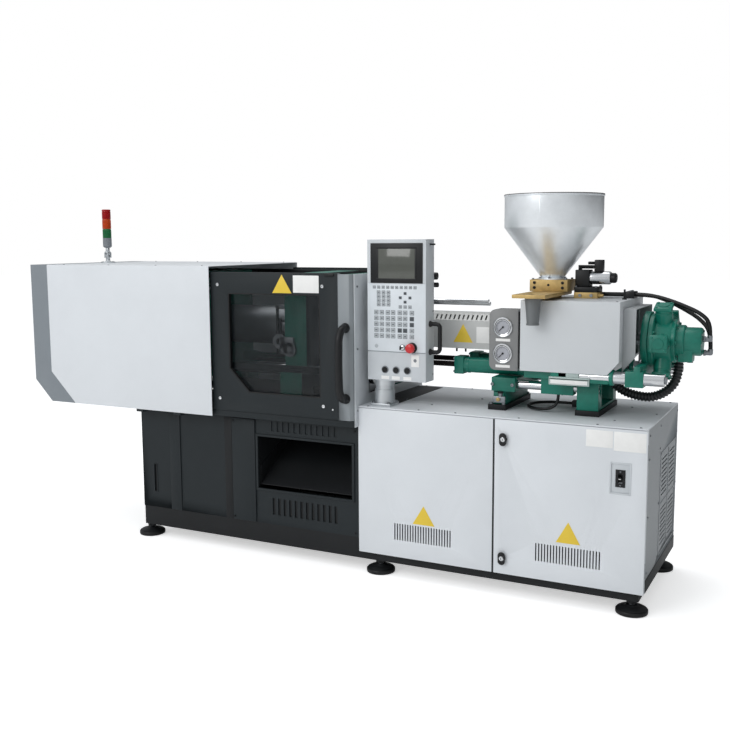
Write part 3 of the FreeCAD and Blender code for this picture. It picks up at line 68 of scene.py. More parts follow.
class Axis(Enum):
    """The direction that a round piece lies along."""

    X = "x"
    Y = "y"
    Z = "z"

    def turn(self) -> Matrix:
        """Return the rotation that takes +Z to this axis."""
        if self is Axis.X:
            return Matrix.Rotation(math.pi / 2, 4, "Y")
        if self is Axis.Y:
            return Matrix.Rotation(-math.pi / 2, 4, "X")
        return Matrix.Identity(4)

    def point(self, across: Pair, along: float) -> Vector:
        """Return the point at a station along the axis.

        Args:
            across: the two other coordinates, in X, Y, Z order.
            along: the station.

        Returns:
            The point, in millimetres.
        """
        if self is Axis.X:
            return Vector((along, across[0], across[1]))
        if self is Axis.Y:
            return Vector((across[0], along, across[1]))
        return Vector((across[0], across[1], along))


# ------------------------------------------------------------------ finishes

def linear(hex_colour: str) -> tuple[float, float, float, float]:
    """Turn an sRGB hex colour into linear values.

    Args:
        hex_colour: six hex digits, with or without a leading #.

    Returns:
        Red, green, blue and alpha.
    """
    digits = hex_colour.lstrip("#")
    values = [int(digits[i:i + 2], 16) / 255 for i in (0, 2, 4)]
    red, green, blue = (v / 12.92 if v <= 0.04045 else ((v + 0.055) / 1.055) ** 2.4 for v in values)
    return red, green, blue, 1.0


def add(tree: bpy.types.NodeTree, kind: str, links: Optional[dict] = None, inputs: Optional[dict] = None,
        **settings) -> bpy.types.Node:
    """Add one node with its settings, input values and incoming links.

    Args:
        tree: the node tree.
        kind: the node's type, without the ShaderNode prefix.
        links: input name or number to an output socket.
        inputs: input name or number to a value.
        **settings: the node's own properties.

    Returns:
        The new node.
    """
    made = tree.nodes.new("ShaderNode" + kind)
    for key, setting in settings.items():
        setattr(made, key, setting)
    for key, amount in (inputs or {}).items():
        made.inputs[key].default_value = amount
    for key, socket in (links or {}).items():
        tree.links.new(socket, made.inputs[key])
    return made


@dataclass(frozen=True)
class Finish:
    """A surface with a fine grain, a slow change of tone and a worn gloss.

    grain_mm is the size of the surface texture, tone_mm that of the slow change of tone.
    """

    name: str
    colour: str
    roughness: float = 0.45
    metallic: float = 0.0
    grain_mm: float = 2.0
    bump: float = 0.06
    tone: float = 0.06
    tone_mm: float = 240.0
    coat: float = 0.0
    coat_roughness: float = 0.1
    stretch: Point = (1.0, 1.0, 1.0)
    alpha: float = 1.0
    ior: float = 1.5

    def material(self) -> bpy.types.Material:
        """Return the material, built on first use."""
        known = bpy.data.materials.get(self.name)
        if known:
            return known
        made = bpy.data.materials.new(self.name)
        made.use_nodes = True
        tree = made.node_tree
        tree.nodes.clear()
        where = add(tree, "TexCoord")
        scaled = add(tree, "Mapping", {"Vector": where.outputs["Object"]}, {"Scale": self.stretch})
        grain = add(tree, "TexNoise", {"Vector": scaled.outputs[0]},
                    {"Scale": 1000 / self.grain_mm, "Detail": 3.0, "Roughness": 0.6})
        slow = add(tree, "TexNoise", {"Vector": where.outputs["Object"]},
                   {"Scale": 1000 / self.tone_mm, "Detail": 5.0, "Roughness": 0.65})
        base = linear(self.colour)
        dark = tuple(c * (1 - 2.2 * self.tone) for c in base[:3]) + (1.0,)
        light = tuple(min(1.0, c * (1 + self.tone)) for c in base[:3]) + (1.0,)
        shade = add(tree, "ValToRGB", {"Fac": slow.outputs[0]})
        shade.color_ramp.elements[0].position = 0.28
        shade.color_ramp.elements[0].color = dark
        shade.color_ramp.elements[1].position = 0.62
        shade.color_ramp.elements[1].color = light
        gloss = add(tree, "MapRange", {"Value": grain.outputs[0]},
                    {"From Min": 0.3, "From Max": 0.7, "To Min": max(0.02, self.roughness - 0.06),
                     "To Max": min(1.0, self.roughness + 0.07)})
        height = add(tree, "Bump", {"Height": grain.outputs[0]},
                     {"Strength": min(1.0, self.bump * 4), "Distance": self.bump * self.grain_mm * MM})
        shader = add(tree, "BsdfPrincipled",
                     {"Base Color": shade.outputs[0], "Roughness": gloss.outputs[0],
                      "Normal": height.outputs[0]},
                     {"Metallic": self.metallic, "IOR": self.ior, "Coat Weight": self.coat,
                      "Coat Roughness": self.coat_roughness, "Alpha": self.alpha})
        add(tree, "OutputMaterial", {"Surface": shader.outputs[0]})
        made.diffuse_color = base[:3] + (self.alpha,)
        return made


def coat(name: str, colour: str, roughness: float = 0.42, **settings: float) -> Finish:
    """Return a powder coat: an even, slightly pebbled skin with a soft sheen, its pebbles 2.6 mm wide."""
    return Finish(name, colour, roughness, **{"grain_mm": 2.6, "bump": 0.04, "tone": 0.02, "coat": 0.1,
                                              "coat_roughness": 0.3, **settings})


# Polyester powder coat on steel sheet. The pebbles are drawn coarser than real, so that they show.
WHITE = coat("white_powder_coat", "#D9DDE1", bump=0.035, tone=0.012, coat=0.12, coat_roughness=0.35)
COVER_WHITE = coat("injection_cover_coat", "#CCD0D3", bump=0.035, tone=0.015, coat=0.12, coat_roughness=0.35)
GREY = coat("mid_grey_powder_coat", "#7D848A", 0.44, coat_roughness=0.35)
EDGE_GREY = coat("gate_edge_grey_coat", "#868C90")
PALE_GREY = coat("pale_grey_powder_coat", "#C6CBCF")
CHARCOAL = coat("charcoal_powder_coat", "#1F2528", 0.48, bump=0.05, tone=0.04, coat=0.0, ior=1.34)
BLACK = Finish("black_chassis_paint", "#17191B", 0.5, grain_mm=3.0, bump=0.06, tone=0.08, ior=1.36)
# Enamel sprayed over rough iron castings: glossy, with the sand grain showing under it.
GREEN = Finish("green_casting_enamel", "#117261", 0.36, grain_mm=7.0, bump=0.08, tone=0.12, tone_mm=120,
               coat=0.15,
               coat_roughness=0.2, ior=1.42)
# Hard chrome on ground rods: bright, with a faint lengthwise change.
CHROME = Finish("hard_chrome", "#D6D8DA", 0.13, 1.0, grain_mm=1.6, bump=0.01, tone=0.03, tone_mm=60)
# Brushed stainless sheet, rolled round the hopper: the brushing runs level.
STEEL = Finish("brushed_stainless", "#EEF2F5", 0.36, 0.72, grain_mm=3.0, bump=0.03, tone=0.05, tone_mm=150,
               stretch=(0.25, 0.25, 3.0))
# Ground and turned steel, bare but for a film of oil: mid grey with a brushed gleam.
GROUND = Finish("ground_steel", "#8E9296", 0.38, 1.0, grain_mm=2.5, bump=0.03, tone=0.08, tone_mm=90)
# Anodised aluminium, drawn one way: pale and satin.
ALUMINIUM = Finish("satin_aluminium", "#C9CDD0", 0.36, 0.85, grain_mm=2.2, bump=0.03, tone=0.04, tone_mm=110,
                   stretch=(0.4, 0.4, 2.0))
# Yellow zinc plating on machined steel: gold with a slight rainbow mottling.
GOLD = Finish("yellow_zinc_plate", "#BDA169", 0.45, 0.45, grain_mm=3.5, bump=0.03, tone=0.12, tone_mm=55)
# Black moulded nylon: a fine spark texture that dulls the gloss.
PLASTIC = Finish("black_moulded_plastic", "#121315", 0.42, grain_mm=1.6, bump=0.05, tone=0.06, tone_mm=60,
                 ior=1.4)
# The same mouldings in grey.
GREY_PLASTIC = Finish("grey_moulded_plastic", "#7D8287", 0.45, grain_mm=1.6, bump=0.05, tone=0.04, tone_mm=60,
                      ior=1.46)
# Synthetic rubber of hydraulic hoses: near black, with a slightly rough skin.
RUBBER = Finish("black_hose_rubber", "#131415", 0.42, grain_mm=1.2, bump=0.08, tone=0.10, tone_mm=40, ior=1.4)
# Corrugated polyamide conduit: smoother and glossier than the rubber.
CONDUIT = Finish("conduit_polyamide", "#202224", 0.26, grain_mm=1.5, bump=0.03, tone=0.06, tone_mm=40,
                 ior=1.5)
# Red moulded plastic with a clear gloss.
RED = Finish("red_moulded_plastic", "#C4151C", 0.3, grain_mm=1.6, bump=0.03, tone=0.05, tone_mm=40, coat=0.3)
# Blank plates: enamel in amber, film in white, both flat and even.
AMBER = Finish("amber_enamel_plate", "#E3C33A", 0.4, grain_mm=1.6, bump=0.02, tone=0.02, tone_mm=60)
PAPER = Finish("blank_white_plate", "#EDEDEB", 0.5, grain_mm=1.2, bump=0.02, tone=0.02, tone_mm=60)
# Polyester membrane of the operator panel, with its keys and their rims: fine, even and satin.
FOIL = Finish("membrane_foil", "#D8DEE3", 0.36, grain_mm=1.0, bump=0.03, tone=0.02, tone_mm=70)
KEYCAP = Finish("membrane_key", "#AEB4B8", 0.4, grain_mm=1.0, bump=0.03, tone=0.02, tone_mm=30)
KEY_RIM = Finish("membrane_key_rim", "#666C71", 0.4, grain_mm=1.0, bump=0.03, tone=0.03, tone_mm=30)
KEY_DARK = Finish("membrane_key_dark", "#3F454A", 0.4, grain_mm=1.0, bump=0.03, tone=0.03, tone_mm=30)
# Display behind glass: dark, with a sharp mirror on top.
SCREEN = Finish("display_glass", "#4C4F48", 0.12, grain_mm=4.0, bump=0.005, tone=0.05, tone_mm=120, coat=0.6,
                coat_roughness=0.05)
# Enamelled gauge dial: light, with a clear gloss.
DIAL = Finish("dial_enamel", "#A9ABB2", 0.35, grain_mm=1.0, bump=0.01, tone=0.02, tone_mm=30, coat=0.3)
# Smoked acrylic window sheet: dark, smooth and see-through.
PANE = Finish("smoked_acrylic_sheet", "#1E2326", 0.06, grain_mm=20.0, bump=0.002, tone=0.05, tone_mm=300,
              alpha=0.38)
# Moulded lamp lenses, unlit: deep and glossy.
LENS_RED = Finish("red_lamp_lens", "#9C1216", 0.2, grain_mm=1.5, bump=0.02, tone=0.08, tone_mm=20, ior=1.35)
LENS_AMBER = Finish("amber_lamp_lens", "#B8431C", 0.2, grain_mm=1.5, bump=0.02, tone=0.08, tone_mm=20,
                    ior=1.35)
LENS_GREEN = Finish("green_lamp_lens", "#23693F", 0.2, grain_mm=1.5, bump=0.02, tone=0.08, tone_mm=20,
                    ior=1.35)
# Powder coats of the barrel cover, the gauge panel, the chute and the inner cover: greys with a soft sheen.
BARREL_GREY = coat("barrel_cover_grey", "#C6C7C5", 0.4, tone=0.03, coat=0.15)
GAUGE_GREY = coat("gauge_panel_grey", "#7F8080", tone=0.03)
CHUTE_GREY = coat("chute_grey", "#6C7072", tone=0.03, coat=0.0, coat_roughness=0.1)
# The inner cover's own grey, drawn lighter than the end cap's mid grey: the extra lightness is painted light,
# lifting the shade the cover lies in.
LIGHTENED_INNER_GREY = coat("inner_cover_grey", "#A2A6A8", tone=0.03)
# Extruded lamp housing, painted a pale green-grey: matt and even.
LAMP_GREY = Finish("lamp_housing_grey", "#A9B8B5", 0.4, grain_mm=2.2, bump=0.03, tone=0.03)
# Dark oxide on the seat cylinders' rods: nearly black, with an oiled gloss.
OXIDE = Finish("black_oxide_rod", "#2A2523", 0.25, 0.8, grain_mm=1.6, bump=0.01, tone=0.05, tone_mm=60)
# Heater bands in a steel jacket: tanned unevenly by the heat.
HEATER = Finish("mica_heater_band", "#9A9288", 0.45, 0.9, grain_mm=4.0, bump=0.05, tone=0.15, tone_mm=40)


# ------------------------------------------------------------------ shaping

@dataclass
class Shape:
    """A mesh in the making. Each added form carries the number of its finish."""

    name: str
    finishes: list[Finish] = field(default_factory=list)
    mesh: bmesh.types.BMesh = field(default_factory=bmesh.new)

    def number(self, finish: Finish) -> int:
        """Return a finish's number on this piece, given on first use."""
        if finish not in self.finishes:
            self.finishes.append(finish)
        return self.finishes.index(finish)

    def take(self, form: bmesh.types.BMesh, finish: Optional[Finish]) -> None:
        """Add a form to the mesh.

        Args:
            form: the form, in millimetres; it is freed.
            finish: its finish, or None where its faces already carry theirs.
        """
        if finish is not None:
            number = self.number(finish)
            for face in form.faces:
                face.material_index = number
        held = bpy.data.meshes.new("held")
        form.to_mesh(held)
        form.free()
        self.mesh.from_mesh(held)
        bpy.data.meshes.remove(held)

    @staticmethod
    def soften(form: bmesh.types.BMesh, width: float, segments: int = 2, angle: float = 30.0) -> None:
        """Round the edges of a form that turn by more than an angle.

        Args:
            form: the form, in millimetres.
            width: the width of the rounding.
            segments: the steps of the rounding.
            angle: the least turn that is rounded, in degrees.
        """
        if width <= 0:
            return
        limit = math.radians(angle)
        sharp = [e for e in form.edges if e.is_manifold and e.calc_face_angle(0.0) > limit]
        bmesh.ops.bevel(form, geom=sharp, offset=width, offset_type="OFFSET", affect="EDGES",
                        segments=segments,
                        profile=0.5, material=-1, clamp_overlap=True)

    def box(self, low: Point, high: Point, finish: Finish, soft: float = 0.0,
            turn: Optional[Matrix] = None) -> None:
        """Add a box between two corners.

        Args:
            low: its lowest corner.
            high: its highest corner.
            finish: the finish.
            soft: the width of the edge rounding.
            turn: a rotation about its centre.
        """
        form = bmesh.new()
        size, centre = Vector(high) - Vector(low), (Vector(high) + Vector(low)) / 2
        bmesh.ops.create_cube(form, size=1.0, matrix=Matrix.Translation(centre) @ (turn or Matrix.Identity(4))
                              @ Matrix.Diagonal((*size, 1.0)))
        self.soften(form, soft)
        self.take(form, finish)

    def rod(self, axis: Axis, across: Pair, along: Pair, radius: float, finish: Finish, soft: float = 0.0,
            end_radius: Optional[float] = None, sides: int = 40, first: float = 0.0) -> None:
        """Add a cylinder, cone or prism between two stations along an axis.

        Args:
            axis: the direction it lies along.
            across: the two other coordinates.
            along: its two stations on the axis.
            radius: its radius at the first station.
            finish: the finish.
            soft: the width of the edge rounding.
            end_radius: its radius at the second station, where that differs.
            sides: how many sides it has.
            first: where its first corner lies, in degrees.
        """
        form = bmesh.new()
        middle = axis.point(across, (along[0] + along[1]) / 2)
        bmesh.ops.create_cone(form, cap_ends=True, segments=sides, radius1=radius,
                              radius2=radius if end_radius is None else end_radius,
                              depth=abs(along[1] - along[0]),
                              matrix=Matrix.Translation(middle) @ axis.turn()
                              @ Matrix.Rotation(math.radians(first), 4, "Z"))
        self.soften(form, soft)
        self.take(form, finish)

    def lathe(self, axis: Axis, across: Pair, profile: Sequence[Pair], finish: Finish,
              steps: int = 64) -> None:
        """Spin a profile of (radius, station) points round an axis.

        Args:
            axis: the axis' direction.
            across: where the axis stands.
            profile: the points, in order.
            finish: the finish.
            steps: how many steps the full turn takes.
        """
        form = bmesh.new()
        seat = Matrix.Translation(axis.point(across, 0.0)) @ axis.turn()
        points = [form.verts.new(seat @ Vector((radius, 0, station))) for radius, station in profile]
        edges = [form.edges.new(pair) for pair in zip(points, points[1:])]
        bmesh.ops.spin(form, geom=points + edges, cent=seat.translation,
                       axis=seat.to_3x3() @ Vector((0, 0, 1)),
                       angle=math.tau, steps=steps, use_merge=True)
        bmesh.ops.remove_doubles(form, verts=form.verts, dist=0.001)
        bmesh.ops.recalc_face_normals(form, faces=form.faces)
        self.take(form, finish)

    def plate(self, axis: Axis, outline: Sequence[Pair], along: Pair, finish: Finish,
              soft: float = 0.0) -> None:
        """Extrude an outline between two stations along an axis.

        Args:
            axis: the direction it is extruded along.
            outline: the corners, each in its two other coordinates.
            along: its two stations on the axis.
            finish: the finish.
            soft: the width of the edge rounding.
        """
        form = bmesh.new()
        corners = [form.verts.new(axis.point(corner, along[0])) for corner in outline]
        face = form.faces.new(corners)
        grown = bmesh.ops.extrude_face_region(form, geom=[face])
        step = axis.point((0.0, 0.0), along[1] - along[0])
        bmesh.ops.translate(form, vec=step,
                            verts=[v for v in grown["geom"] if isinstance(v, bmesh.types.BMVert)])
        bmesh.ops.recalc_face_normals(form, faces=form.faces)
        self.soften(form, soft)
        self.take(form, finish)

    def screw(self, axis: Axis, across: Pair, along: Pair, radius: float, finish: Finish) -> None:
        """Add the head of a socket screw, with its recess.

        Args:
            axis: the direction it lies along.
            across: the two other coordinates.
            along: where the head starts and where it ends.
            radius: the head's radius.
            finish: the finish.
        """
        low, high = along
        step = 1 if high > low else -1
        self.lathe(axis, across, [(radius, low), (radius, high - 0.6 * step), (radius * 0.9, high),
                                  (radius * 0.5, high), (radius * 0.5, high - step * radius * 0.5),
                                  (0, high - step * radius * 0.5)], finish, steps=12)

    def copy_node(self, node: str, finish: Finish, soft: float = 0.8, segments: int = 2,
                  paint: Iterable[tuple[Finish, Callable[[Vector, Vector], bool]]] = (),
                  grow: float = 0.0) -> None:
        """Add a CAD node's shape with softened edges.

        Args:
            node: the CAD node.
            finish: the finish of its faces.
            soft: the width of the edge rounding.
            segments: the steps of the rounding.
            paint: other finishes, each with a test of a face's centre and normal.
            grow: how far the skin moves out.
        """
        form = bmesh.new()
        form.from_mesh(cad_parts[node].data)
        bmesh.ops.scale(form, vec=(1000, 1000, 1000), verts=form.verts)
        bmesh.ops.remove_doubles(form, verts=form.verts, dist=0.004)
        bmesh.ops.dissolve_limit(form, angle_limit=math.radians(0.4), verts=form.verts, edges=form.edges)
        number = self.number(finish)
        tests = list(paint)
        for face in form.faces:
            face.material_index = number
            centre = face.calc_center_median()
            for other, test in tests:
                if test(centre, face.normal):
                    face.material_index = self.number(other)
        self.soften(form, soft, segments)
        if grow:
            bmesh.ops.recalc_face_normals(form, faces=form.faces)
            form.normal_update()
            for vertex in form.verts:
                vertex.co += vertex.normal * grow
        self.take(form, None)

    def done(self, body: str, replaces: Sequence[str] = (), angle: float = 34.0) -> None:
        """Finish the piece: scale to metres, set its shading, and let it ride.

        Args:
            body: the CAD body it rides on.
            replaces: the CAD nodes it stands for.
            angle: edges that turn by more than this stay sharp.
        """
        bmesh.ops.scale(self.mesh, vec=(MM, MM, MM), verts=self.mesh.verts)
        limit = math.radians(angle)
        for face in self.mesh.faces:
            face.smooth = True
        for edge in self.mesh.edges:
            edge.smooth = not (edge.is_manifold and edge.calc_face_angle(0.0) > limit)
        data = bpy.data.meshes.new(self.name)
        self.mesh.to_mesh(data)
        self.mesh.free()
        for finish in self.finishes:
            data.materials.append(finish.material())
        piece = bpy.data.objects.new(self.name, data)
        bpy.context.scene.collection.objects.link(piece)
        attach(piece, body)
        if replaces:
            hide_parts(*replaces)
        log.info("%s: %d faces on %s", self.name, len(data.polygons), body)


def within(low: Point, high: Point) -> Callable[[Vector, Vector], bool]:
    """Return a test of whether a face's centre lies between two corners."""
    def test(centre: Vector, _normal: Vector) -> bool:
        """Compare the centre with both corners."""
        return all(a - 0.01 <= c <= b + 0.01 for a, c, b in zip(low, centre, high))
    return test


def ring(count: int, radius: float, centre: Pair, first: float = 0.0) -> list[Pair]:
    """Return points evenly spaced round a circle.

    Args:
        count: how many points.
        radius: the circle's radius.
        centre: the circle's centre.
        first: where the first point lies, in steps.

    Returns:
        The points.
    """
    angles = [math.tau * (i + first) / count for i in range(count)]
    return [(centre[0] + radius * math.cos(a), centre[1] + radius * math.sin(a)) for a in angles]


def dress(node: str, finish: Finish) -> None:
    """Give a CAD node that stays in view its finish.

    Args:
        node: the CAD node.
        finish: the finish.
    """
    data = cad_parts[node].data
    data.materials.clear()
    data.materials.append(finish.material())
    log.info("%s: dressed in %s", node, finish.name)


def span(node: str) -> tuple[Vector, Vector]:
    """Return a CAD node's lowest and highest corners in millimetres."""
    low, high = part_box(node)
    return Vector(low) * 1000, Vector(high) * 1000


# ------------------------------------------------------------------ base and cabinet

@dataclass
class Base:
    """The black bed, its feet, and the charcoal skins of the clamp base."""

    face: float = -305.0
    low: float = 146.0
    high: float = 617.0
    pilaster: Pair = (-801.0, -739.0)
    painted_shadow_gap: Pair = (-488.0, -449.0)
    frame_panel: Pair = (-444.0, 190.0)
    chute: tuple[Pair, Pair] = ((-306.0, 170.0), (306.0, 543.0))

    def bed(self) -> None:
        """Round the edges of the bed and paint it."""
        bed = Shape("bed_frame_painted")
        bed.copy_node("bed_frame", BLACK, 2.0, paint=[(CHARCOAL, within((-970, -400, 146), (210, 400, 640)))])
        bed.done("machine", ["bed_frame"])

    def feet(self) -> None:
        """Build the levelling feet with rubber treads, collars and threads."""
        feet = Shape("levelling_feet_fitted")
        for x in (-950, 290, 1350):
            for y in (-275, 275):
                feet.lathe(Axis.Z, (x, y),
                           [(0, 0), (55, 0), (60, 2), (61, 6), (61, 15), (59, 18), (54, 19), (0, 19)], RUBBER)
                feet.lathe(Axis.Z, (x, y),
                           [(0, 18), (56, 18), (57, 20), (50, 24), (30, 29), (24, 32), (22, 34), (0, 34)],
                           BLACK)
                feet.rod(Axis.Z, (x, y), (40, 54.8), 21.6, BLACK, 1.5, sides=6)
                thread = [(0, 33.9)] + [(12 if i % 2 else 11, 34 + 1.5 * i) for i in range(44)] + [(0, 100)]
                feet.lathe(Axis.Z, (x, y), thread, GROUND, 20)
        feet.done("machine", ["levelling_feet"])

    def skins(self) -> None:
        """Round the skins, and add their pilaster, the painted shade of the recess, frames and louvre lips.
        """
        skins = Shape("base_skins")
        # The faces inside the chute are painted black: painted shade in the hollow.
        skins.copy_node("base_panels", CHARCOAL, 0.8,
                        paint=[(BLACK, within((-305, -300, 300), (169, 70, 620)))])
        y = self.face
        skins.box((self.pilaster[0], y - 5, self.low), (self.pilaster[1], y, self.high), CHARCOAL, 1.5)
        # A thin black strip on the face where the recess shows dark: painted shade, not a cut.
        skins.box((self.painted_shadow_gap[0], y - 1, self.low), (self.painted_shadow_gap[1], y, self.high), BLACK, 0.3)
        left, right = self.frame_panel
        (x0, x1), (z0, z1) = self.chute
        skins.box((left, y - 7, self.low), (x0 - 14, y, self.high), CHARCOAL, 1.5)
        for low, high in (((x0 - 12, y - 5, z1), (x1 + 12, y, z1 + 10)),
                          ((x0 - 12, y - 5, z0 - 10), (x1 + 12, y, z0)),
                          ((x0 - 12, y - 5, z0), (x0, y, z1)), ((x1, y - 5, z0), (x1 + 12, y, z1))):
            skins.box(low, high, CHARCOAL, 1.2)
        # Black sheets just behind the slots and openings of the skins, and a black floor and side in the
        # chute: painted shade of the hollow base.
        skins.box((-245, -299.5, 182), (105, -298.5, 274), BLACK)
        skins.box((-245, -299.5, 563), (105, -298.5, 617), BLACK)
        skins.box((-245, 298.5, 182), (105, 299.5, 617), BLACK)
        skins.box((-906, -299.5, 213), (-880, -298.5, 365), BLACK)
        skins.box((-306, -298, 168), (170, 66, 170), BLACK)
        skins.box((-310, -298, 168), (-306, 66, 545), BLACK)
        for low, high in (((-905, y - 2, 219), (-900, y, 359)), ((-886, y - 2, 219), (-881, y, 359)),
                          ((-900, y - 2, 355), (-886, y, 359)), ((-900, y - 2, 219), (-886, y, 223))):
            skins.box(low, high, CHARCOAL, 0.8)
        for x, z in ((left + 8, 160), (right - 6, 160), (left + 8, 605), (right - 6, 605)):
            skins.screw(Axis.Y, (x, z), (y - 7 if x < 0 else y, y - 10 if x < 0 else y - 3), 4.5, BLACK)
        skins.done("machine", ["base_panels"])

    def build(self) -> None:
        """Build the whole base."""
        self.bed()
        self.feet()
        self.skins()


@dataclass
class Cabinet:
    """The white power cabinet with its door, latches, breaker and ventilated end."""

    left: float = 210.0
    right: float = 1400.0
    half: float = 325.0
    top: float = 720.0
    door_left: float = 814.0
    latches: Pair = (636.0, 156.0)
    latch_x: float = 850.0
    breaker: Pair = (1304.0, 527.0)

    def shell(self) -> None:
        """Round the shell and frame its louvred end."""
        shell = Shape("cabinet_shell_painted")
        shell.copy_node("cabinet_shell", WHITE, 0.8,
                        paint=[(EDGE_GREY, within((1396.9, -44.9, 167.1), (1400, 289.9, 571.9)))])
        for low, high in (((1400, -52, 160), (1401.5, -45, 579)), ((1400, 290, 160), (1401.5, 297, 579)),
                          ((1400, -52, 160), (1401.5, 297, 167)), ((1400, -52, 572), (1401.5, 297, 579)),
                          ((1400, 119, 167), (1401.5, 126, 572)), ((1400, -45, 366), (1401.5, 290, 373))):
            shell.box(low, high, EDGE_GREY, 0.6)
        shell.box((1400, -300, 92), (1402, 322, 142), BLACK, 0.6)
        for y in (-285, -70, 310):
            for z in (165, 380, 600, 690):
                shell.screw(Axis.X, (y, z), (1400, 1402.5), 4.5, GROUND)
        shell.done("machine", ["cabinet_shell"])

    def top_plate(self) -> None:
        """Round the top plate, lay a black sheet of painted shade on it, and add its screws and the cable
        gland.
        """
        plate = Shape("cabinet_top_painted")
        # A black sheet on the top plate beside the post: painted shade, standing for the dark gap seen there.
        plate.box((212, -195, 720.1), (338, 296, 721.2), BLACK, 0.3)
        plate.copy_node("cabinet_top_plate", WHITE, 1.4,
                        paint=[(PLASTIC, within((1000, 0, 720.5), (1060, 70, 760)))])
        for x in (250, 480, 640, 905, 1210, 1370):
            for y in (-308, 308):
                plate.screw(Axis.Z, (x, y), (self.top, self.top + 2.4), 4.5, GROUND)
        for x, y in ((330, -90), (480, -170), (620, 60), (1250, -200), (1250, 120), (1370, 0), (700, 200)):
            plate.screw(Axis.Z, (x, y), (self.top, self.top + 2.4), 4.5, GROUND)
        plate.done("machine", ["cabinet_top_plate"])

    def left_panel(self) -> None:
        """Round the fixed front panel and add the blank triangular plate."""
        panel = Shape("cabinet_left_panel_painted")
        panel.copy_node("cabinet_left_panel", WHITE, 1.2)
        self.triangle(panel, (461, 559, 244, 324))
        panel.box((806, -325.3, 91.5), (812, -324, 712.5), BLACK)
        panel.done("machine", ["cabinet_left_panel"])

    def triangle(self, shape: Shape, spread: tuple[float, float, float, float]) -> None:
        """Add a plain triangular plate to a front panel."""
        x0, x1, z0, z1 = spread
        middle = (x0 + x1) / 2
        y = -self.half
        shape.plate(Axis.Y, [(x0, z0), (x1, z0), (middle, z1)], (y, y - 0.8), AMBER, 0.3)

    def door(self) -> None:
        """Round the door, and add the breaker's frame, the blank plates and the hinges."""
        door = Shape("cabinet_door_painted")
        door.copy_node("cabinet_door", WHITE, 1.2, paint=[
            (PLASTIC, within((1285, -327, 490), (1323, -308, 565))),
            (PALE_GREY, within((1257, -323.1, 459), (1351, -316.9, 595)))])
        x, z = self.breaker
        y = -self.half
        for low, high in (((x - 40, y - 1.5, z - 61), (x - 34, y + 2, z + 61)),
                          ((x + 34, y - 1.5, z - 61), (x + 40, y + 2, z + 61)),
                          ((x - 34, y - 1.5, z + 55), (x + 34, y + 2, z + 61)),
                          ((x - 34, y - 1.5, z - 61), (x + 34, y + 2, z - 55))):
            door.box(low, high, PALE_GREY, 0.5)
        for dz in (-26, 26):
            door.screw(Axis.Y, (x, z + dz), (y - 1, y - 2.2), 3.2, GROUND)
        self.triangle(door, (1065, 1160, 251, 335))
        for x0, x1, z0, z1 in ((1173, 1273, 639, 703), (1277, 1395, 631, 703)):
            door.box((x0, y - 0.8, z0), (x1, y, z1), PAPER, 0.3)
        for z0 in (150, 600):
            door.rod(Axis.Z, (1397, -309), (z0, z0 + 60), 3.5, GROUND, 0.6, sides=20)
        door.done("door", ["cabinet_door"])

    def latch(self, node: str, body: str, z: float) -> None:
        """Build a swing-handle latch: oval escutcheon, turned handle, key barrel and cam."""
        latch = Shape(node + "_fitted")
        x, y = self.latch_x, -self.half
        latch.rod(Axis.Y, (x, z), (y - 9, y - 0.4), 15.0, PLASTIC, 1.5)
        latch.plate(Axis.Y, self.oval(x, z), (y - 9, y - 13.5), PLASTIC, 1.2)
        latch.lathe(Axis.Y, (x, z), [(0, y - 16), (7.5, y - 16), (9.5, y - 14), (9.5, y - 12), (0, y - 12)],
                    CHROME, 32)
        latch.box((x - 1.2, y - 16.6, z - 5), (x + 1.2, y - 15.5, z + 5), PLASTIC, 0.2)
        latch.rod(Axis.Y, (x, z), (y - 1, y + 17), 5.9, GROUND, 0.3)
        latch.box((x - 28, y + 13, z - 8), (x + 7, y + 17, z + 8), GROUND, 1.0)
        latch.done(body, [node])

    @staticmethod
    def oval(x: float, z: float) -> list[Pair]:
        """Return the handle's oval outline round its spindle."""
        points = []
        for i in range(24):
            angle = math.tau * i / 24
            points.append((x + 15 * math.cos(angle),
                           z + (11 if math.sin(angle) > 0 else -11) + 15 * math.sin(angle)))
        return points

    def toggle(self) -> None:
        """Build the breaker's toggle with its finger grip."""
        toggle = Shape("breaker_toggle_moulded")
        x, z = self.breaker
        toggle.box((x - 6, -335, z - 5), (x + 6, -315, z + 5), PLASTIC, 1.2)
        toggle.box((x - 4, -335.4, z - 1.2), (x + 4, -334.8, z + 1.2), PAPER, 0.1)
        toggle.rod(Axis.X, (-316, z), (x - 11, x + 11), 2.0, PLASTIC, 0.2, sides=20)
        toggle.done("toggle", ["breaker_toggle"])

    def build(self) -> None:
        """Build the whole cabinet."""
        self.shell()
        self.top_plate()
        self.left_panel()
        self.door()
        self.latch("latch_upper", "upper_latch", self.latches[0])
        self.latch("latch_lower", "lower_latch", self.latches[1])
        self.toggle()


# ------------------------------------------------------------------ clamp and its cover

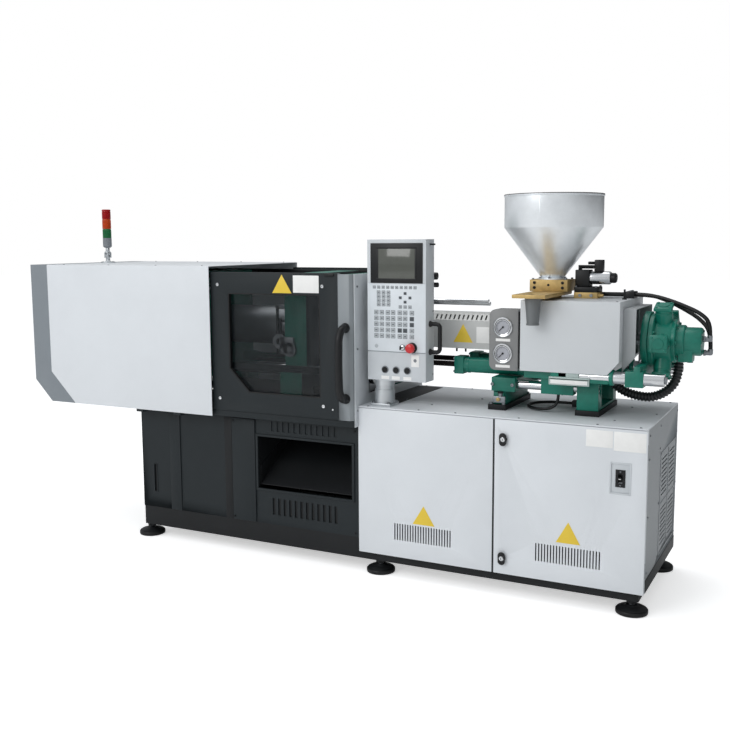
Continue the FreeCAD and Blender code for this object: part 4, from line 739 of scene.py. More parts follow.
@dataclass
class ClampCover:
    """The white cover with its grey end cap, and the signal tower on it."""

    top: float = 1300.0
    tower: Pair = (-1452.0, 46.0)
    pivot: float = 1348.0

    def shells(self) -> None:
        """Round the cover and its end cap."""
        cover = Shape("clamp_cover_painted")
        cover.copy_node("clamp_cover", WHITE, 1.6, segments=3)
        for x in (-1380, -1100, -820, -560):
            for y in (-150, 150):
                cover.screw(Axis.Z, (x, y * 2.3), (self.top, self.top + 2.2), 4.0, GROUND)
        cover.done("machine", ["clamp_cover"])
        cap = Shape("cover_end_cap_painted")
        cap.copy_node("cover_end_cap", GREY, 1.6, segments=3)
        cap.done("machine", ["cover_end_cap"])

    def tower_foot(self) -> None:
        """Build the signal tower's foot, neck and fork."""
        foot = Shape("signal_tower_foot")
        x, y = self.tower
        z = self.top
        foot.lathe(Axis.Z, (x, y), [(0, z), (35, z), (35, z + 3), (31, z + 6), (15, z + 7), (11, z + 11),
                                    (11, self.pivot - 21),
                                    (0, self.pivot - 21)], ALUMINIUM, 40)
        foot.copy_node("tower_base", ALUMINIUM, 0.8)
        for side in (-14.4, 14.4):
            foot.screw(Axis.Y, (x, self.pivot), (y + side * 0.97, y + side * 1.15), 6, GROUND)
        for across in ring(4, 25, self.tower, 0.5):
            foot.screw(Axis.Z, across, (z + 5.5, z + 8), 3.4, GROUND)
        foot.done("machine", ["tower_base"])

    def tower_stack(self) -> None:
        """Build the lamp stack: knuckle, grey base, ribbed lenses and cap."""
        stack = Shape("signal_tower_stack")
        x, y = self.tower
        p = self.pivot
        stack.lathe(Axis.Y, (x, p),
                    [(4.1, y - 7.6), (10.6, y - 7.6), (11.4, y - 6.8), (11.4, y + 6.8), (10.6, y + 7.6),
                     (4.1, y + 7.6)], ALUMINIUM, 40)
        stack.box((x - 8, y - 7.6, p + 5), (x + 8, y + 7.6, p + 34), ALUMINIUM, 1.5)
        stack.lathe(Axis.Z, (x, y),
                    [(0, p + 30), (15, p + 30), (20, p + 34), (22.4, p + 37), (22.4, p + 80), (0, p + 80)],
                    GREY_PLASTIC, 48)
        bands = ((LENS_GREEN, p + 80, p + 127), (LENS_AMBER, p + 127, p + 178), (LENS_RED, p + 178, p + 220))
        for finish, low, high in bands:
            ribs = [(0, low), (21, low)]
            count = int((high - low - 4) / 4)
            for i in range(count):
                base = low + 2 + 4 * i
                ribs += [(22.4, base), (22.4, base + 2), (21.4, base + 3)]
            stack.lathe(Axis.Z, (x, y), ribs + [(21, high - 0.5), (0, high - 0.5)], finish, 48)
        stack.lathe(Axis.Z, (x, y),
                    [(0, p + 220), (22.4, p + 220), (22.4, p + 224), (20, p + 226.8), (0, p + 226.9)],
                    LENS_RED, 48)
        stack.done("tower", ["signal_tower"])

    def build(self) -> None:
        """Build the cover and the tower."""
        self.shells()
        self.tower_foot()
        self.tower_stack()


@dataclass
class ClampUnit:
    """Platens, tie bars, cylinder and ram, with the fittings seen through the window."""

    axis_z: float = 1015.0

    def castings(self) -> None:
        """Paint the platens and the clamp cylinder, and bolt them."""
        for node, body in (("fixed_platen", "machine"), ("tail_platen", "machine"),
                           ("moving_platen", "clamp")):
            platen = Shape(node + "_cast")
            low, high = span(node)
            faces = [(GROUND, lambda c, n, right=high.x: n.x > 0.9 and c.x > right - 2),
                     (GROUND, lambda c, n, left=low.x: n.x < -0.9 and c.x < left + 2)]
            platen.copy_node(node, GREEN, 2.5, paint=faces if node != "tail_platen" else [])
            platen.done(body, [node])
        cylinder = Shape("clamp_cylinder_cast")
        cylinder.copy_node("clamp_cylinder", GREEN, 2.0)
        for across in ring(12, 138, (0, self.axis_z)):
            cylinder.rod(Axis.X, across, (-842, -830), 9, GROUND, 1, sides=6)
        cylinder.done("machine", ["clamp_cylinder"])

    def bars(self) -> None:
        """Polish the bars, the ram and the ejector."""
        for node, body, finish, slot in (("tie_bars", "machine", CHROME, "chrome"),
                                         ("clamp_ram", "clamp", GROUND, "chrome"),
                                         ("ejector_rod", "ejector", GROUND, "bare_steel")):
            bar = Shape(node + "_ground")
            nuts = [(BLACK, lambda c, n: (c.x > 204.9 or c.x < -799.9) and (abs(c.y) - 180) ** 2
                     + (abs(c.z - 1015) - 180) ** 2 > 26 ** 2)] if node == "tie_bars" else []
            bar.copy_node(node, finish, 1.0, paint=nuts)
            bar.done(body, [node])

    def rear_fittings(self) -> None:
        """Add the lubrication lines, plugs and cable tray seen through the window."""
        tray = Shape("clamp_tray")
        tray.box((-690, 100, 640), (85, 106, 735), CHARCOAL, 1.0)
        tray.box((-690, -190, 633), (85, 190, 637), CHARCOAL, 1.0)
        tray.box((-560, -322, 842), (86, -310, 872), CHARCOAL, 1.5)
        tray.box((-560, -310, 842), (86, -306, 850), CHARCOAL, 1.0)
        tray.box((-560, -318, 637), (-548, -306, 842), CHARCOAL, 1.0)
        tray.box((74, -318, 637), (86, -306, 842), CHARCOAL, 1.0)
        tray.done("machine")
        lines = Shape("moving_platen_lines")
        for i, y in enumerate((-240, -215, -190)):
            top = 1120 - 60 * i
            lines.rod(Axis.X, (y, top), (-222, -190.2), 11, GROUND, 1.5, sides=6)
            lines.rod(Axis.X, (y, top), (-240, -222), 7, RUBBER, 1.5, sides=16)
            lines.rod(Axis.Z, (-233, y), (905, top), 7, RUBBER, 2.0, sides=16)
            lines.rod(Axis.X, (y, 905), (-233, -190.2), 7, RUBBER, 1.5, sides=16)
        for x, z in ((-215, 968), (-162, 934)):
            lines.lathe(Axis.Y, (x, z),
                        [(14, -262), (32, -262), (32, -254), (24, -251), (14, -251), (14, -262)], GROUND, 40)
        lines.box((-212, -262, 915), (-140, -250.2, 988), GROUND, 2.0)
        lines.done("clamp")

    def build(self) -> None:
        """Build the clamp unit."""
        self.castings()
        self.bars()
        self.rear_fittings()


# ------------------------------------------------------------------ gates

@dataclass
class Gates:
    """Front and rear safety gates, their rails and the nozzle guard."""

    face: float = 364.0
    screws: tuple[Pair, ...] = ((-463, 1220), (-463, 714), (67, 1220), (67, 714))
    window: tuple[float, float, float, float] = (-410.0, 53.0, 747.0, 1184.0)
    bevel: float = 101.0

    def opening(self, grow: float) -> list[Pair]:
        """Return the window's outline, grown on every side."""
        left, right, low, high = self.window
        corner = self.bevel - 0.4142 * grow
        return [(left - grow, high + grow), (right + grow, high + grow), (right + grow, low - grow),
                (left + corner, low - grow), (left - grow, low + corner)]

    def gasket(self, shape: Shape, side: int) -> None:
        """Add the rubber seal round the window's edge."""
        outer, inner = self.opening(0.2), self.opening(-5.0)
        y0, y1 = side * (self.face - 1.0), side * (self.face - 18.0)
        for i, corner in enumerate(outer):
            after = (i + 1) % len(outer)
            shape.plate(Axis.Y, [corner, outer[after], inner[after], inner[i]], (y0, y1), RUBBER)

    def leaf(self, node: str, body: str, side: int) -> None:
        """Dress a gate's frame with its seal, screws, blank plates and edge strip."""
        leaf = Shape(node + "_painted")
        strip = within((140.01, -400, 600), (210, 400, 1300))
        handle = [(PLASTIC, lambda c, n: abs(c.y) > 364.2)]
        leaf.copy_node(node, CHARCOAL, 1.0, paint=[(EDGE_GREY, strip)] + handle)
        self.gasket(leaf, side)
        y = side * self.face
        for x, z in self.screws:
            leaf.screw(Axis.Y, (x, z), (y, y + side * 4), 7.5, CHROME)
        leaf.screw(Axis.Y, (112, 703), (y, y + side * 2.5), 4, CHROME)
        if side < 0:
            leaf.plate(Axis.Y, [(-179, 1188), (-83, 1188), (-131, 1267)], (y, y - 0.8), AMBER, 0.3)
            leaf.box((-75, y - 0.8, 1191), (50, y, 1264), PAPER, 0.3)
        leaf.box((78, y if side > 0 else y - 5, 1262), (122, y + 5 if side > 0 else y, 1274), PLASTIC, 1.0)
        leaf.done(body, [node])

    def panes(self) -> None:
        """Dress the clear panes."""
        for node in ("front_gate_window", "rear_gate_window"):
            dress(node, PANE)

    def handle(self) -> None:
        """Smooth the front gate's bow handle and foot it."""
        handle = Shape("front_gate_handle_moulded")
        handle.copy_node("front_gate_handle", PLASTIC, 0, grow=3.8)
        bmesh.ops.translate(handle.mesh, vec=(0, 3.9, 0), verts=handle.mesh.verts)
        for z in (753, 1050):
            handle.lathe(Axis.Y, (174, z), [(0, -364.1), (21, -364.1), (21, -368), (15, -378), (0, -378)],
                         PLASTIC, 40)
        handle.done("front_gate", ["front_gate_handle"], angle=50)

    def rails(self) -> None:
        """Round the rails and the guard."""
        rails = Shape("gate_rails_painted")
        rails.copy_node("gate_rails", CHARCOAL, 0.8, paint=[(BLACK, lambda c, n: c.z > 1240)])
        rails.done("machine", ["gate_rails"])
        guard = Shape("nozzle_guard_painted")
        guard.copy_node("nozzle_guard", PALE_GREY, 0.8)
        for y in (-325, 325):
            for z in (700, 960, 1220):
                guard.screw(Axis.X, (y, z), (209, 212), 4.5, GROUND)
        guard.done("machine", ["nozzle_guard"])

    def build(self) -> None:
        """Build both gates and what they run on."""
        self.leaf("front_gate_frame", "front_gate", -1)
        self.leaf("rear_gate_frame", "rear_gate", 1)
        self.panes()
        self.handle()
        self.rails()


# ------------------------------------------------------------------ operator panel

@dataclass
class OperatorPanel:
    """The swivelling panel on its post: case, display, keys, stop, key switch and buttons."""

    left: float = 245.0
    right: float = 508.0
    front: float = -300.0
    low: float = 833.0
    high: float = 1412.0
    post: Pair = (298.0, -247.0)
    key_x: float = 367.0
    key_z: float = 1213.0

    def pedestal(self) -> None:
        """Turn the post with its collars and bolt its foot."""
        post = Shape("pedestal_turned")
        post.box((253, -292, 720), (343, -202, 731.8), ALUMINIUM, 2.0)
        post.lathe(Axis.Z, self.post,
                   [(0, 731), (42.5, 731), (42.5, 785), (41, 787), (41, 790), (38.5, 791), (38.5, 805.6),
                    (37.5, 806.2), (20, 806.2), (20, 826), (0, 826)], ALUMINIUM, 64)
        post.lathe(Axis.Z, self.post, [(42, 736), (44, 737), (44, 741), (42, 742)], ALUMINIUM, 64)
        for dx in (-36, 36):
            for dy in (-36, 36):
                post.rod(Axis.Z, (self.post[0] + dx, self.post[1] + dy), (731.5, 737), 6.5, GROUND, 0.8,
                         sides=6)
        post.done("machine", ["pedestal"])

    def case(self) -> None:
        """Round the case and its socket, and add the stub at its upper corner."""
        case = Shape("panel_case_painted")
        case.copy_node("panel_housing", PALE_GREY, 1.6, segments=3,
                       paint=[(ALUMINIUM, lambda c, n: c.z < 832.5)])
        case.box((self.right, -264, 1388), (self.right + 22, -254, 1395), PLASTIC, 1.5)
        case.box((478, -217, 1150), (492, -196, 1250), PLASTIC, 2.0)
        case.rod(Axis.X, (-200, 1262), (474, 516), 15, PLASTIC, 2.5)
        case.rod(Axis.X, (-200, 1226), (480, 520), 10, PLASTIC, 2.0)
        for z in (860, 1120, 1390):
            case.screw(Axis.X, (-228, z), (self.right, self.right + 2.2), 3.5, GROUND)
        case.done("panel", ["panel_housing"])

    def fascia(self) -> None:
        """Build the fascia: seam, display bezel and screen, membrane and keys."""
        y = self.front
        face = Shape("panel_fascia_built")
        face.copy_node("panel_fascia", PALE_GREY, 0.6,
                       paint=[(PLASTIC, within((260, -303.2, 1230), (496, -300.05, 1400)))])
        face.box((self.left + 1, y - 0.7, 954.5), (self.right - 1, y, 1233), FOIL, 0.3)
        face.box((self.left + 1, y - 1.2, 951.5), (self.right - 1, y, 954.5), GREY, 0.3)
        bezel = ((297, 1254), (460, 1374))
        for low, high in (((289, 1374), (468, 1382)), ((289, 1246), (468, 1254)), ((289, 1254), (297, 1374)),
                          ((460, 1254), (468, 1374))):
            face.box((low[0], y - 4.0, low[1]), (high[0], y - 2.9, high[1]), PLASTIC, 0.6)
        face.box((bezel[0][0], y - 3.4, bezel[0][1]), (bezel[1][0], y - 2.9, bezel[1][1]), SCREEN, 0.1)
        self.keys(face)
        for i in range(3):
            face.lathe(Axis.Y, (325 + 50.5 * i, 878),
                       [(12.2, y), (15.5, y), (15.5, y - 2), (14, y - 3), (12.2, y - 3)],
                       GREY_PLASTIC, 40)
        face.lathe(Axis.Y, (405, 973), [(9.2, y), (13, y), (13, y - 3), (11.5, y - 4), (9.2, y - 4)], GROUND,
                   40)
        face.lathe(Axis.Y, (448, 973),
                   [(11.2, y - 0.7), (22, y - 0.7), (22, y - 3), (18, y - 8), (11.2, y - 8)],
                   PLASTIC, 40)
        for x0, x1 in ((308, 344), (356, 392), (408, 444)):
            face.box((x0, y - 0.7, 838), (x1, y, 852), PAPER, 0.2)
        face.box((444, y - 1.0, 895), (478, y, 944), PAPER, 0.2)
        face.rod(Axis.Y, (461, 921), (y - 2.2, y), 7, GREY_PLASTIC, 0.6, sides=24)
        face.rod(Axis.Y, (286, 975), (y - 1.5, y), 8, KEYCAP, 0.4, sides=24)
        face.done("panel", ["panel_fascia"])

    def key(self, face: Shape, x: float, z: float, size: Pair, finish: Finish = KEYCAP) -> None:
        """Add a raised key with a dark surround and a plain bar where its print would be."""
        y = self.front
        w, h = size[0] / 2, size[1] / 2
        face.box((x - w, y - 1.5, z - h), (x + w, y - 0.4, z + h), KEY_RIM, 0.35)
        face.box((x - w + 1.6, y - 1.9, z - h + 1.6), (x + w - 1.6, y - 1.2, z + h - 1.6), finish, 0.2)
        if finish is KEYCAP:
            face.box((x - w * 0.5, y - 2.1, z - h * 0.28), (x + w * 0.5, y - 1.8, z + h * 0.28), KEY_RIM)

    def keys(self, face: Shape) -> None:
        """Lay out the function row, number block, arrow cross and the main field."""
        row = self.key_z + 5
        for i in range(10):
            self.key(face, 277 + 20.4 * i, row, (13.5, 12))
        for i in range(3):
            for k in range(4):
                self.key(face, 297 + 22.3 * i, row - 21 - 16.6 * k, (16.5, 14.5))
        for dx, dz in ((0, 0), (-21.6, -17.5), (21.6, -17.5), (0, -35)):
            self.key(face, 416.5 + dx, row - 24 + dz, (13, 11.5), KEY_DARK)
        for dx in (-21.6, 0, 21.6):
            self.key(face, 416.5 + dx, row - 79, (14, 13))
        for i, column in enumerate((286, 311, 338.5, 362.5, 392.5, 416.5, 446.5)):
            for k in range(5):
                dark = (i, k) in ((6, 1), (6, 2), (4, 3), (5, 3))
                self.key(face, column, row - 103 - 24.2 * k, (19, 18), KEY_DARK if dark else KEYCAP)

    def controls(self) -> None:
        """Build the stop button, push buttons, key and side handle."""
        y = self.front
        stop = Shape("stop_mushroom")
        stop.lathe(Axis.Y, (448, 973),
                   [(0, y + 10), (11, y + 10), (11, y - 16), (18, y - 16.5), (19.6, y - 19), (20, y - 24),
                    (18.5, y - 30), (14, y - 33.5), (7, y - 34.8), (0, y - 35)], RED, 48)
        stop.done("estop", ["estop_button"])
        for i, side in enumerate(("left", "middle", "right")):
            button = Shape("push_button_%s_moulded" % side)
            button.lathe(Axis.Y, (325 + 50.5 * i, 878),
                         [(0, y + 8), (11.9, y + 8), (11.9, y - 5.2), (11, y - 6), (9.5, y - 6),
                          (8.5, y - 5.2), (0, y - 4.6)], PLASTIC, 40)
            button.done("%s_button" % side, ["push_button_" + side])
        key = Shape("key_and_plug")
        key.lathe(Axis.Y, (405, 973), [(0, y + 10), (8.9, y + 10), (8.9, y - 5.4), (8, y - 6), (0, y - 6)],
                  CHROME, 40)
        key.box((404, y - 18, 969.5), (406, y - 5.5, 976.5), GROUND, 0.3)
        key.plate(Axis.X,
                  [(y - 17, 965), (y - 29, 965), (y - 31, 967), (y - 31, 979), (y - 29, 981), (y - 17, 981)],
                  (404, 406), PLASTIC, 0.5)
        key.done("key", ["key_switch"])
        grip = Shape("panel_handle_moulded")
        grip.copy_node("panel_handle", PLASTIC, 0, grow=2.2)
        for z in (955, 1070):
            grip.lathe(Axis.X, (-258.5, z), [(0, 508.05), (13, 508.05), (13, 511), (9.5, 518), (0, 518)],
                       PLASTIC, 32)
        grip.done("panel", ["panel_handle"], angle=50)

    def build(self) -> None:
        """Build the whole panel."""
        self.pedestal()
        self.case()
        self.fascia()
        self.controls()


# ------------------------------------------------------------------ injection unit

@dataclass
class InjectionUnit:
    """Carriage, barrel, covers, gauges and feed."""

    axis_z: float = 1015.0
    gauge_x: float = 805.0
    gauges: Pair = (1064.0, 959.0)
    face: float = -215.0

    def castings(self) -> None:
        """Paint the green castings and grind the rods in them."""
        supports = Shape("carriage_supports_cast")
        supports.copy_node("carriage_supports", GREEN, 2.5, paint=[(BLACK, lambda c, n: c.z < 742.01)])
        for x in (738, 792):
            for y in (-161, 161):
                supports.rod(Axis.Z, (x, y), (742, 750), 8, GROUND, 0.8, sides=6)
        for x in (745, 830):
            supports.screw(Axis.Y, (x, 826), (-165, -171), 7, GROUND)
        supports.box((749, -158, 750), (792, -150.2, 792), GREEN, 2.0)
        supports.done("machine", ["carriage_supports"])
        rods = Shape("carriage_rods_ground")
        rods.copy_node("carriage_rods", CHROME, 0.8, paint=[(OXIDE, lambda c, n: c.z > 870)])
        rods.done("machine", ["carriage_rods"])
        side_rods = Shape("barrel_side_rods")
        for across in ((150, 1141), (172, 1128)):
            side_rods.rod(Axis.X, across, (209, 614), 9, CHROME, 1.5)
            side_rods.rod(Axis.X, across, (209.2, 216), 16, PLASTIC, 1.0, sides=6)
        side_rods.done("machine")
        housing = Shape("injection_housing_cast")
        housing.copy_node("injection_housing", GREEN, 2.5, paint=[(CHROME, lambda c, n: c.x > 1075.5)])
        for y in (-185, 185):
            housing.rod(Axis.X, (y, 883), (1427.9, 1436), 15, GROUND, 1.2, sides=6)
            out = 1 if y > 0 else -1
            housing.box((1058, min(y - 22, y + 22), 857), (1225, max(y - 22, y + 22), 912), GREEN, 5.0)
            housing.rod(Axis.X, (y, 883), (1225, 1240), 31, GREEN, 2.0)
            housing.screw(Axis.Y, (1100, 898), (y + 22 * out, y + 27 * out), 6, GROUND)
            housing.screw(Axis.Y, (1190, 898), (y + 22 * out, y + 27 * out), 6, GROUND)
        housing.done("carriage", ["injection_housing"])
        seat = Shape("seat_cylinders_cast")
        seat.copy_node("seat_cylinders", GREEN, 2.0)
        for y in (-90, 90):
            for dy in (-27, 27):
                for dz in (-27, 27):
                    seat.screw(Axis.X, (y + dy, 889 + dz), (562, 556), 5, GROUND)
            seat.lathe(Axis.X, (y, 889), [(31, 612), (34, 613), (34, 622), (31, 623)], GREEN, 48)
        seat.done("carriage", ["seat_cylinders"])

    def barrel(self) -> None:
        """Dress the barrel with heater bands, nuts and the nozzle, and round its cover and fit its plates and
        screws.
        """
        barrel = Shape("barrel_turned")
        barrel.copy_node("barrel", GROUND, 0.6,
                         paint=[(HEATER, lambda c, n: (c.y ** 2 + (c.z - 1015) ** 2) > 42.05 ** 2)])
        barrel.rod(Axis.X, (0, self.axis_z), (281, 299), 24, GROUND, 1.0, sides=6)
        barrel.done("carriage", ["barrel"])
        cover = Shape("barrel_cover_folded")
        cover.copy_node("barrel_cover", BARREL_GREY, 0.7)
        for x in (450, 480, 560, 600):
            cover.rod(Axis.Z, (x, -92), (943, 957), 4, PLASTIC, 0.8, sides=16)
        cover.plate(Axis.Y, [(548, 983), (634, 983), (591, 1060)], (-100, -100.8), AMBER, 0.3)
        cover.box((650, -100.8, 983), (706, -100, 1050), PAPER, 0.3)
        for x in (350, 740):
            cover.screw(Axis.Y, (x, 970), (-100, -102.5), 4, GROUND)
        cover.done("carriage", ["barrel_cover"])

    def gauge_panel(self) -> None:
        """Round the gauge panel and build its two gauges."""
        panel = Shape("gauge_panel_built")
        y = self.face
        form = [(747 + 26, 891), (866, 891), (866, 1134), (747 + 26, 1134)]
        form += [(747 + 26 - 26 * math.sin(a),
                  1108 + 26 * math.cos(a)) for a in (math.pi / 2 * i / 8 for i in range(1, 9))]
        form += [(747 + 26 - 26 * math.cos(a),
                  917 - 26 * math.sin(a)) for a in (math.pi / 2 * i / 8 for i in range(0, 8))]
        panel.plate(Axis.Y, form, (y, -135), GAUGE_GREY, 1.5)
        panel.box((866, y + 12, 900), (875, -141, 1125), BLACK, 0.5)
        for z in self.gauges:
            self.gauge(panel, z)
            panel.box((self.gauge_x - 30, y - 0.8, z - 57), (self.gauge_x + 30, y, z - 46), PAPER, 0.2)
        panel.done("carriage", ["gauge_panel"])
        for node, body, z in (("needle_upper", "upper_needle", self.gauges[0]),
                              ("needle_lower", "lower_needle", self.gauges[1])):
            needle = Shape(node + "_pointer")
            needle.copy_node(node, PLASTIC, 0)
            needle.done(body, [node])

    def gauge(self, panel: Shape, z: float) -> None:
        """Build one gauge: wide chrome bezel, dial and its tick marks."""
        x, y = self.gauge_x, self.face
        panel.lathe(Axis.Y, (x, z),
                    [(37, y + 0.5), (41, y + 0.5), (41, y - 3), (39.5, y - 7.0), (36.5, y - 9), (33.5, y - 8),
                     (32.5, y - 5), (31.5, y - 5), (30.5, y - 7.5), (28.5, y - 7), (27, y - 1),
                     (37, y + 0.5)],
                    CHROME, 64)
        panel.lathe(Axis.Y, (x, z), [(32.3, y - 5.3), (31.6, y - 5.3), (31.6, y - 4.5), (32.3, y - 4.5),
                                     (32.3, y - 5.3)], BLACK, 64)
        panel.lathe(Axis.Y, (x, z), [(0, y - 1.6), (28, y - 1.6), (28, y - 0.6), (0, y - 0.6)], DIAL, 64)
        for i in range(28):
            angle = math.radians(225 - 10 * i)
            long = 4.5 if i % 3 == 0 else 2.5
            middle = Vector((x + (25.5 - long / 2) * math.cos(angle), y - 1.8,
                             z + (25.5 - long / 2) * math.sin(angle)))
            half = Vector((long / 2, 0.2, 0.5))
            panel.box(tuple(middle - half), tuple(middle + half), PLASTIC, 0,
                      Matrix.Rotation(-angle, 4, "Y"))

    def covers(self) -> None:
        """Round the white cover and the grey inner cover."""
        white = Shape("injection_cover_painted")
        white.copy_node("injection_cover", COVER_WHITE, 1.8, segments=3)
        for x in (890, 1246):
            for y in (-195, 195):
                white.screw(Axis.Z, (x, y), (1173, 1175.4), 4, GROUND)
        white.done("carriage", ["injection_cover"])
        inner = Shape("inner_cover_painted")
        inner.copy_node("inner_cover", LIGHTENED_INNER_GREY, 1.2)
        inner.done("carriage", ["inner_cover"])

    def feed(self) -> None:
        """Build the gold slide plate, block and screws, and the discharge chute."""
        plate = Shape("slide_plate_plated")
        plate.copy_node("slide_plate", GOLD, 1.0,
                        paint=[(CHUTE_GREY, lambda c, n: c.z < 1185.9 and c.y < -200)])
        plate.done("carriage", ["slide_plate"])
        block = Shape("feed_block_plated")
        block.copy_node("feed_block", GOLD, 1.2)
        for x in (882, 998):
            for z in (1215, 1235):
                block.lathe(Axis.Y, (x, z), [(0, -60.1), (6, -60.1), (6, -62.5), (3.5, -63.5), (3.5, -61),
                                             (0, -61)], PLASTIC, 24)
        for x, y in ((873, -50), (1007, -50), (873, 50), (1007, 50)):
            block.screw(Axis.Z, (x, y), (1247, 1253), 5, GROUND)
        block.lathe(Axis.Y, (940, 1226), [(0, -60.1), (5, -60.1), (5, -61.4), (0, -61.4)], PLASTIC, 24)
        block.done("feeder", ["feed_block"])

    def hopper(self) -> None:
        """Spin the hopper with its beads, flange and lid."""
        at = (940.0, 0.0)
        hopper = Shape("hopper_spun")
        outside = [(45, 1252), (45, 1253), (196.6, 1455), (197.4, 1457), (197.4, 1578), (199.6, 1579.5),
                   (199.9, 1582),
                   (199.9, 1585)]
        inside = [(195, 1585), (195, 1456.5), (43, 1253), (22, 1252), (22, 1247.2), (59, 1247.2), (59, 1252),
                  (45, 1252)]
        hopper.lathe(Axis.Z, at, outside + inside, STEEL, 96)
        for across in ring(6, 52, at, 0.5):
            hopper.rod(Axis.Z, across, (1252, 1257), 4.5, GROUND, 0.6, sides=6)
        hopper.box((938.5, -197.9, 1459), (941.5, -197.2, 1577), STEEL, 0.2)
        hopper.done("feeder", ["hopper"])
        lid = Shape("hopper_lid_pressed")
        lid.lathe(Axis.Z, at, [(0, 1577), (192.8, 1577), (192.8, 1585.3), (200, 1585.3), (200, 1587),
                               (198.5, 1588), (0, 1588)],
                  BLACK, 96)
        lid.done("lid", ["hopper_lid"])

    def valve(self) -> None:
        """Build the valve group on the cover: manifold, valve, solenoid, connector and hose clamp."""
        valve = Shape("pressure_valve_built")
        z = 1173.0
        valve.box((1035, -25, z), (1130, 65, z + 24), GOLD, 1.5)
        valve.box((1035, -24, z + 24), (1129, 64, z + 45), PLASTIC, 2.0)
        valve.box((1035, -10, z + 45), (1092, 50, z + 113), PLASTIC, 2.5)
        for y in (58, 84):
            valve.rod(Axis.X, (y, z + 14), (1130 if y < 65 else 1100, 1226), 7.9, RUBBER, 0.8, sides=24)
        valve.rod(Axis.Y, (1108, z + 14), (66, 84), 7.9, RUBBER, 0.8, sides=24)
        valve.lathe(Axis.X, (-8, z + 12), [(0, 1129), (9, 1129), (9, 1136), (6, 1139), (6, 1150), (0, 1153)],
                    GOLD, 24)
        for y, top in ((6, 128), (34, 121)):
            valve.rod(Axis.X, (y, z + top), (1046, 1112), 4.2, RUBBER, 0.8, sides=16)
            valve.rod(Axis.Z, (1048, y), (z + 112, z + top + 4), 4.4, RUBBER, 0.8, sides=16)
        valve.lathe(Axis.X, (20, z + 81),
                    [(0, 1092), (24, 1092), (26, 1094), (26, 1168), (24, 1172), (0, 1172)], CHROME, 56)
        valve.lathe(Axis.X, (20, z + 81),
                    [(0, 1172), (19, 1172), (20, 1174), (20, 1190), (16, 1195), (0, 1198)], PLASTIC, 40)
        valve.box((1108, 3, z + 106), (1142, 37, z + 153), PLASTIC, 3.0)
        valve.rod(Axis.X, (20, z + 140), (1080, 1108), 6, PLASTIC, 1.0, sides=24)
        for x, y in ((1042, -18), (1122, -18), (1042, 58), (1122, 58)):
            valve.screw(Axis.Z, (x, y), (z + 45, z + 50), 5, GROUND)
        for x in (1060, 1105):
            valve.lathe(Axis.Y, (x, z + 12), [(0, -25), (7, -25), (7, -29), (0, -29)], GROUND, 6)
        valve.box((1225, 35, z), (1261.9, 105, z + 27), PLASTIC, 2.0)
        for y in (46, 71, 96):
            valve.screw(Axis.Z, (1243, y), (z + 27, z + 31), 4.5, GROUND)
        valve.rod(Axis.Z, (1240, -40), (z, z + 6), 9, PLASTIC, 1.0)
        valve.rod(Axis.Z, (1240, -40), (z + 6, z + 40), 4, PLASTIC, 1.0)
        valve.done("carriage", ["pressure_valve"])

    def underside(self) -> None:
        """Add the lamp bar and junction box below the cover."""
        bar = Shape("lamp_bar")
        bar.box((993, -214, 846), (1152, -209, 872), LAMP_GREY, 1.0)
        bar.box((993, -214, 866), (1152, -176, 878), LAMP_GREY, 2.0)
        bar.box((1000, -215.2, 851), (1145, -213.5, 866), PAPER, 0.6)
        bar.box((1030, -212, 878), (1110, -196, 896), LAMP_GREY, 1.0)
        bar.done("carriage")
        fitting = Shape("front_support_fitting")
        fitting.box((748, -168, 750), (800, -160, 776), GROUND, 1.5)
        fitting.rod(Axis.Y, (772, 764), (-176, -167.5), 9, GOLD, 1.0, sides=6)
        fitting.rod(Axis.Z, (778, -160), (776, 797.5), 9, GROUND, 1.0)
        fitting.rod(Axis.Z, (778, -160), (788, 797.8), 12, PLASTIC, 1.0, sides=6)
        fitting.done("machine")

    def build(self) -> None:
        """Build the injection unit."""
        self.castings()
        self.barrel()
        self.gauge_panel()
        self.covers()
        self.feed()
        self.hopper()
        self.valve()
        self.underside()


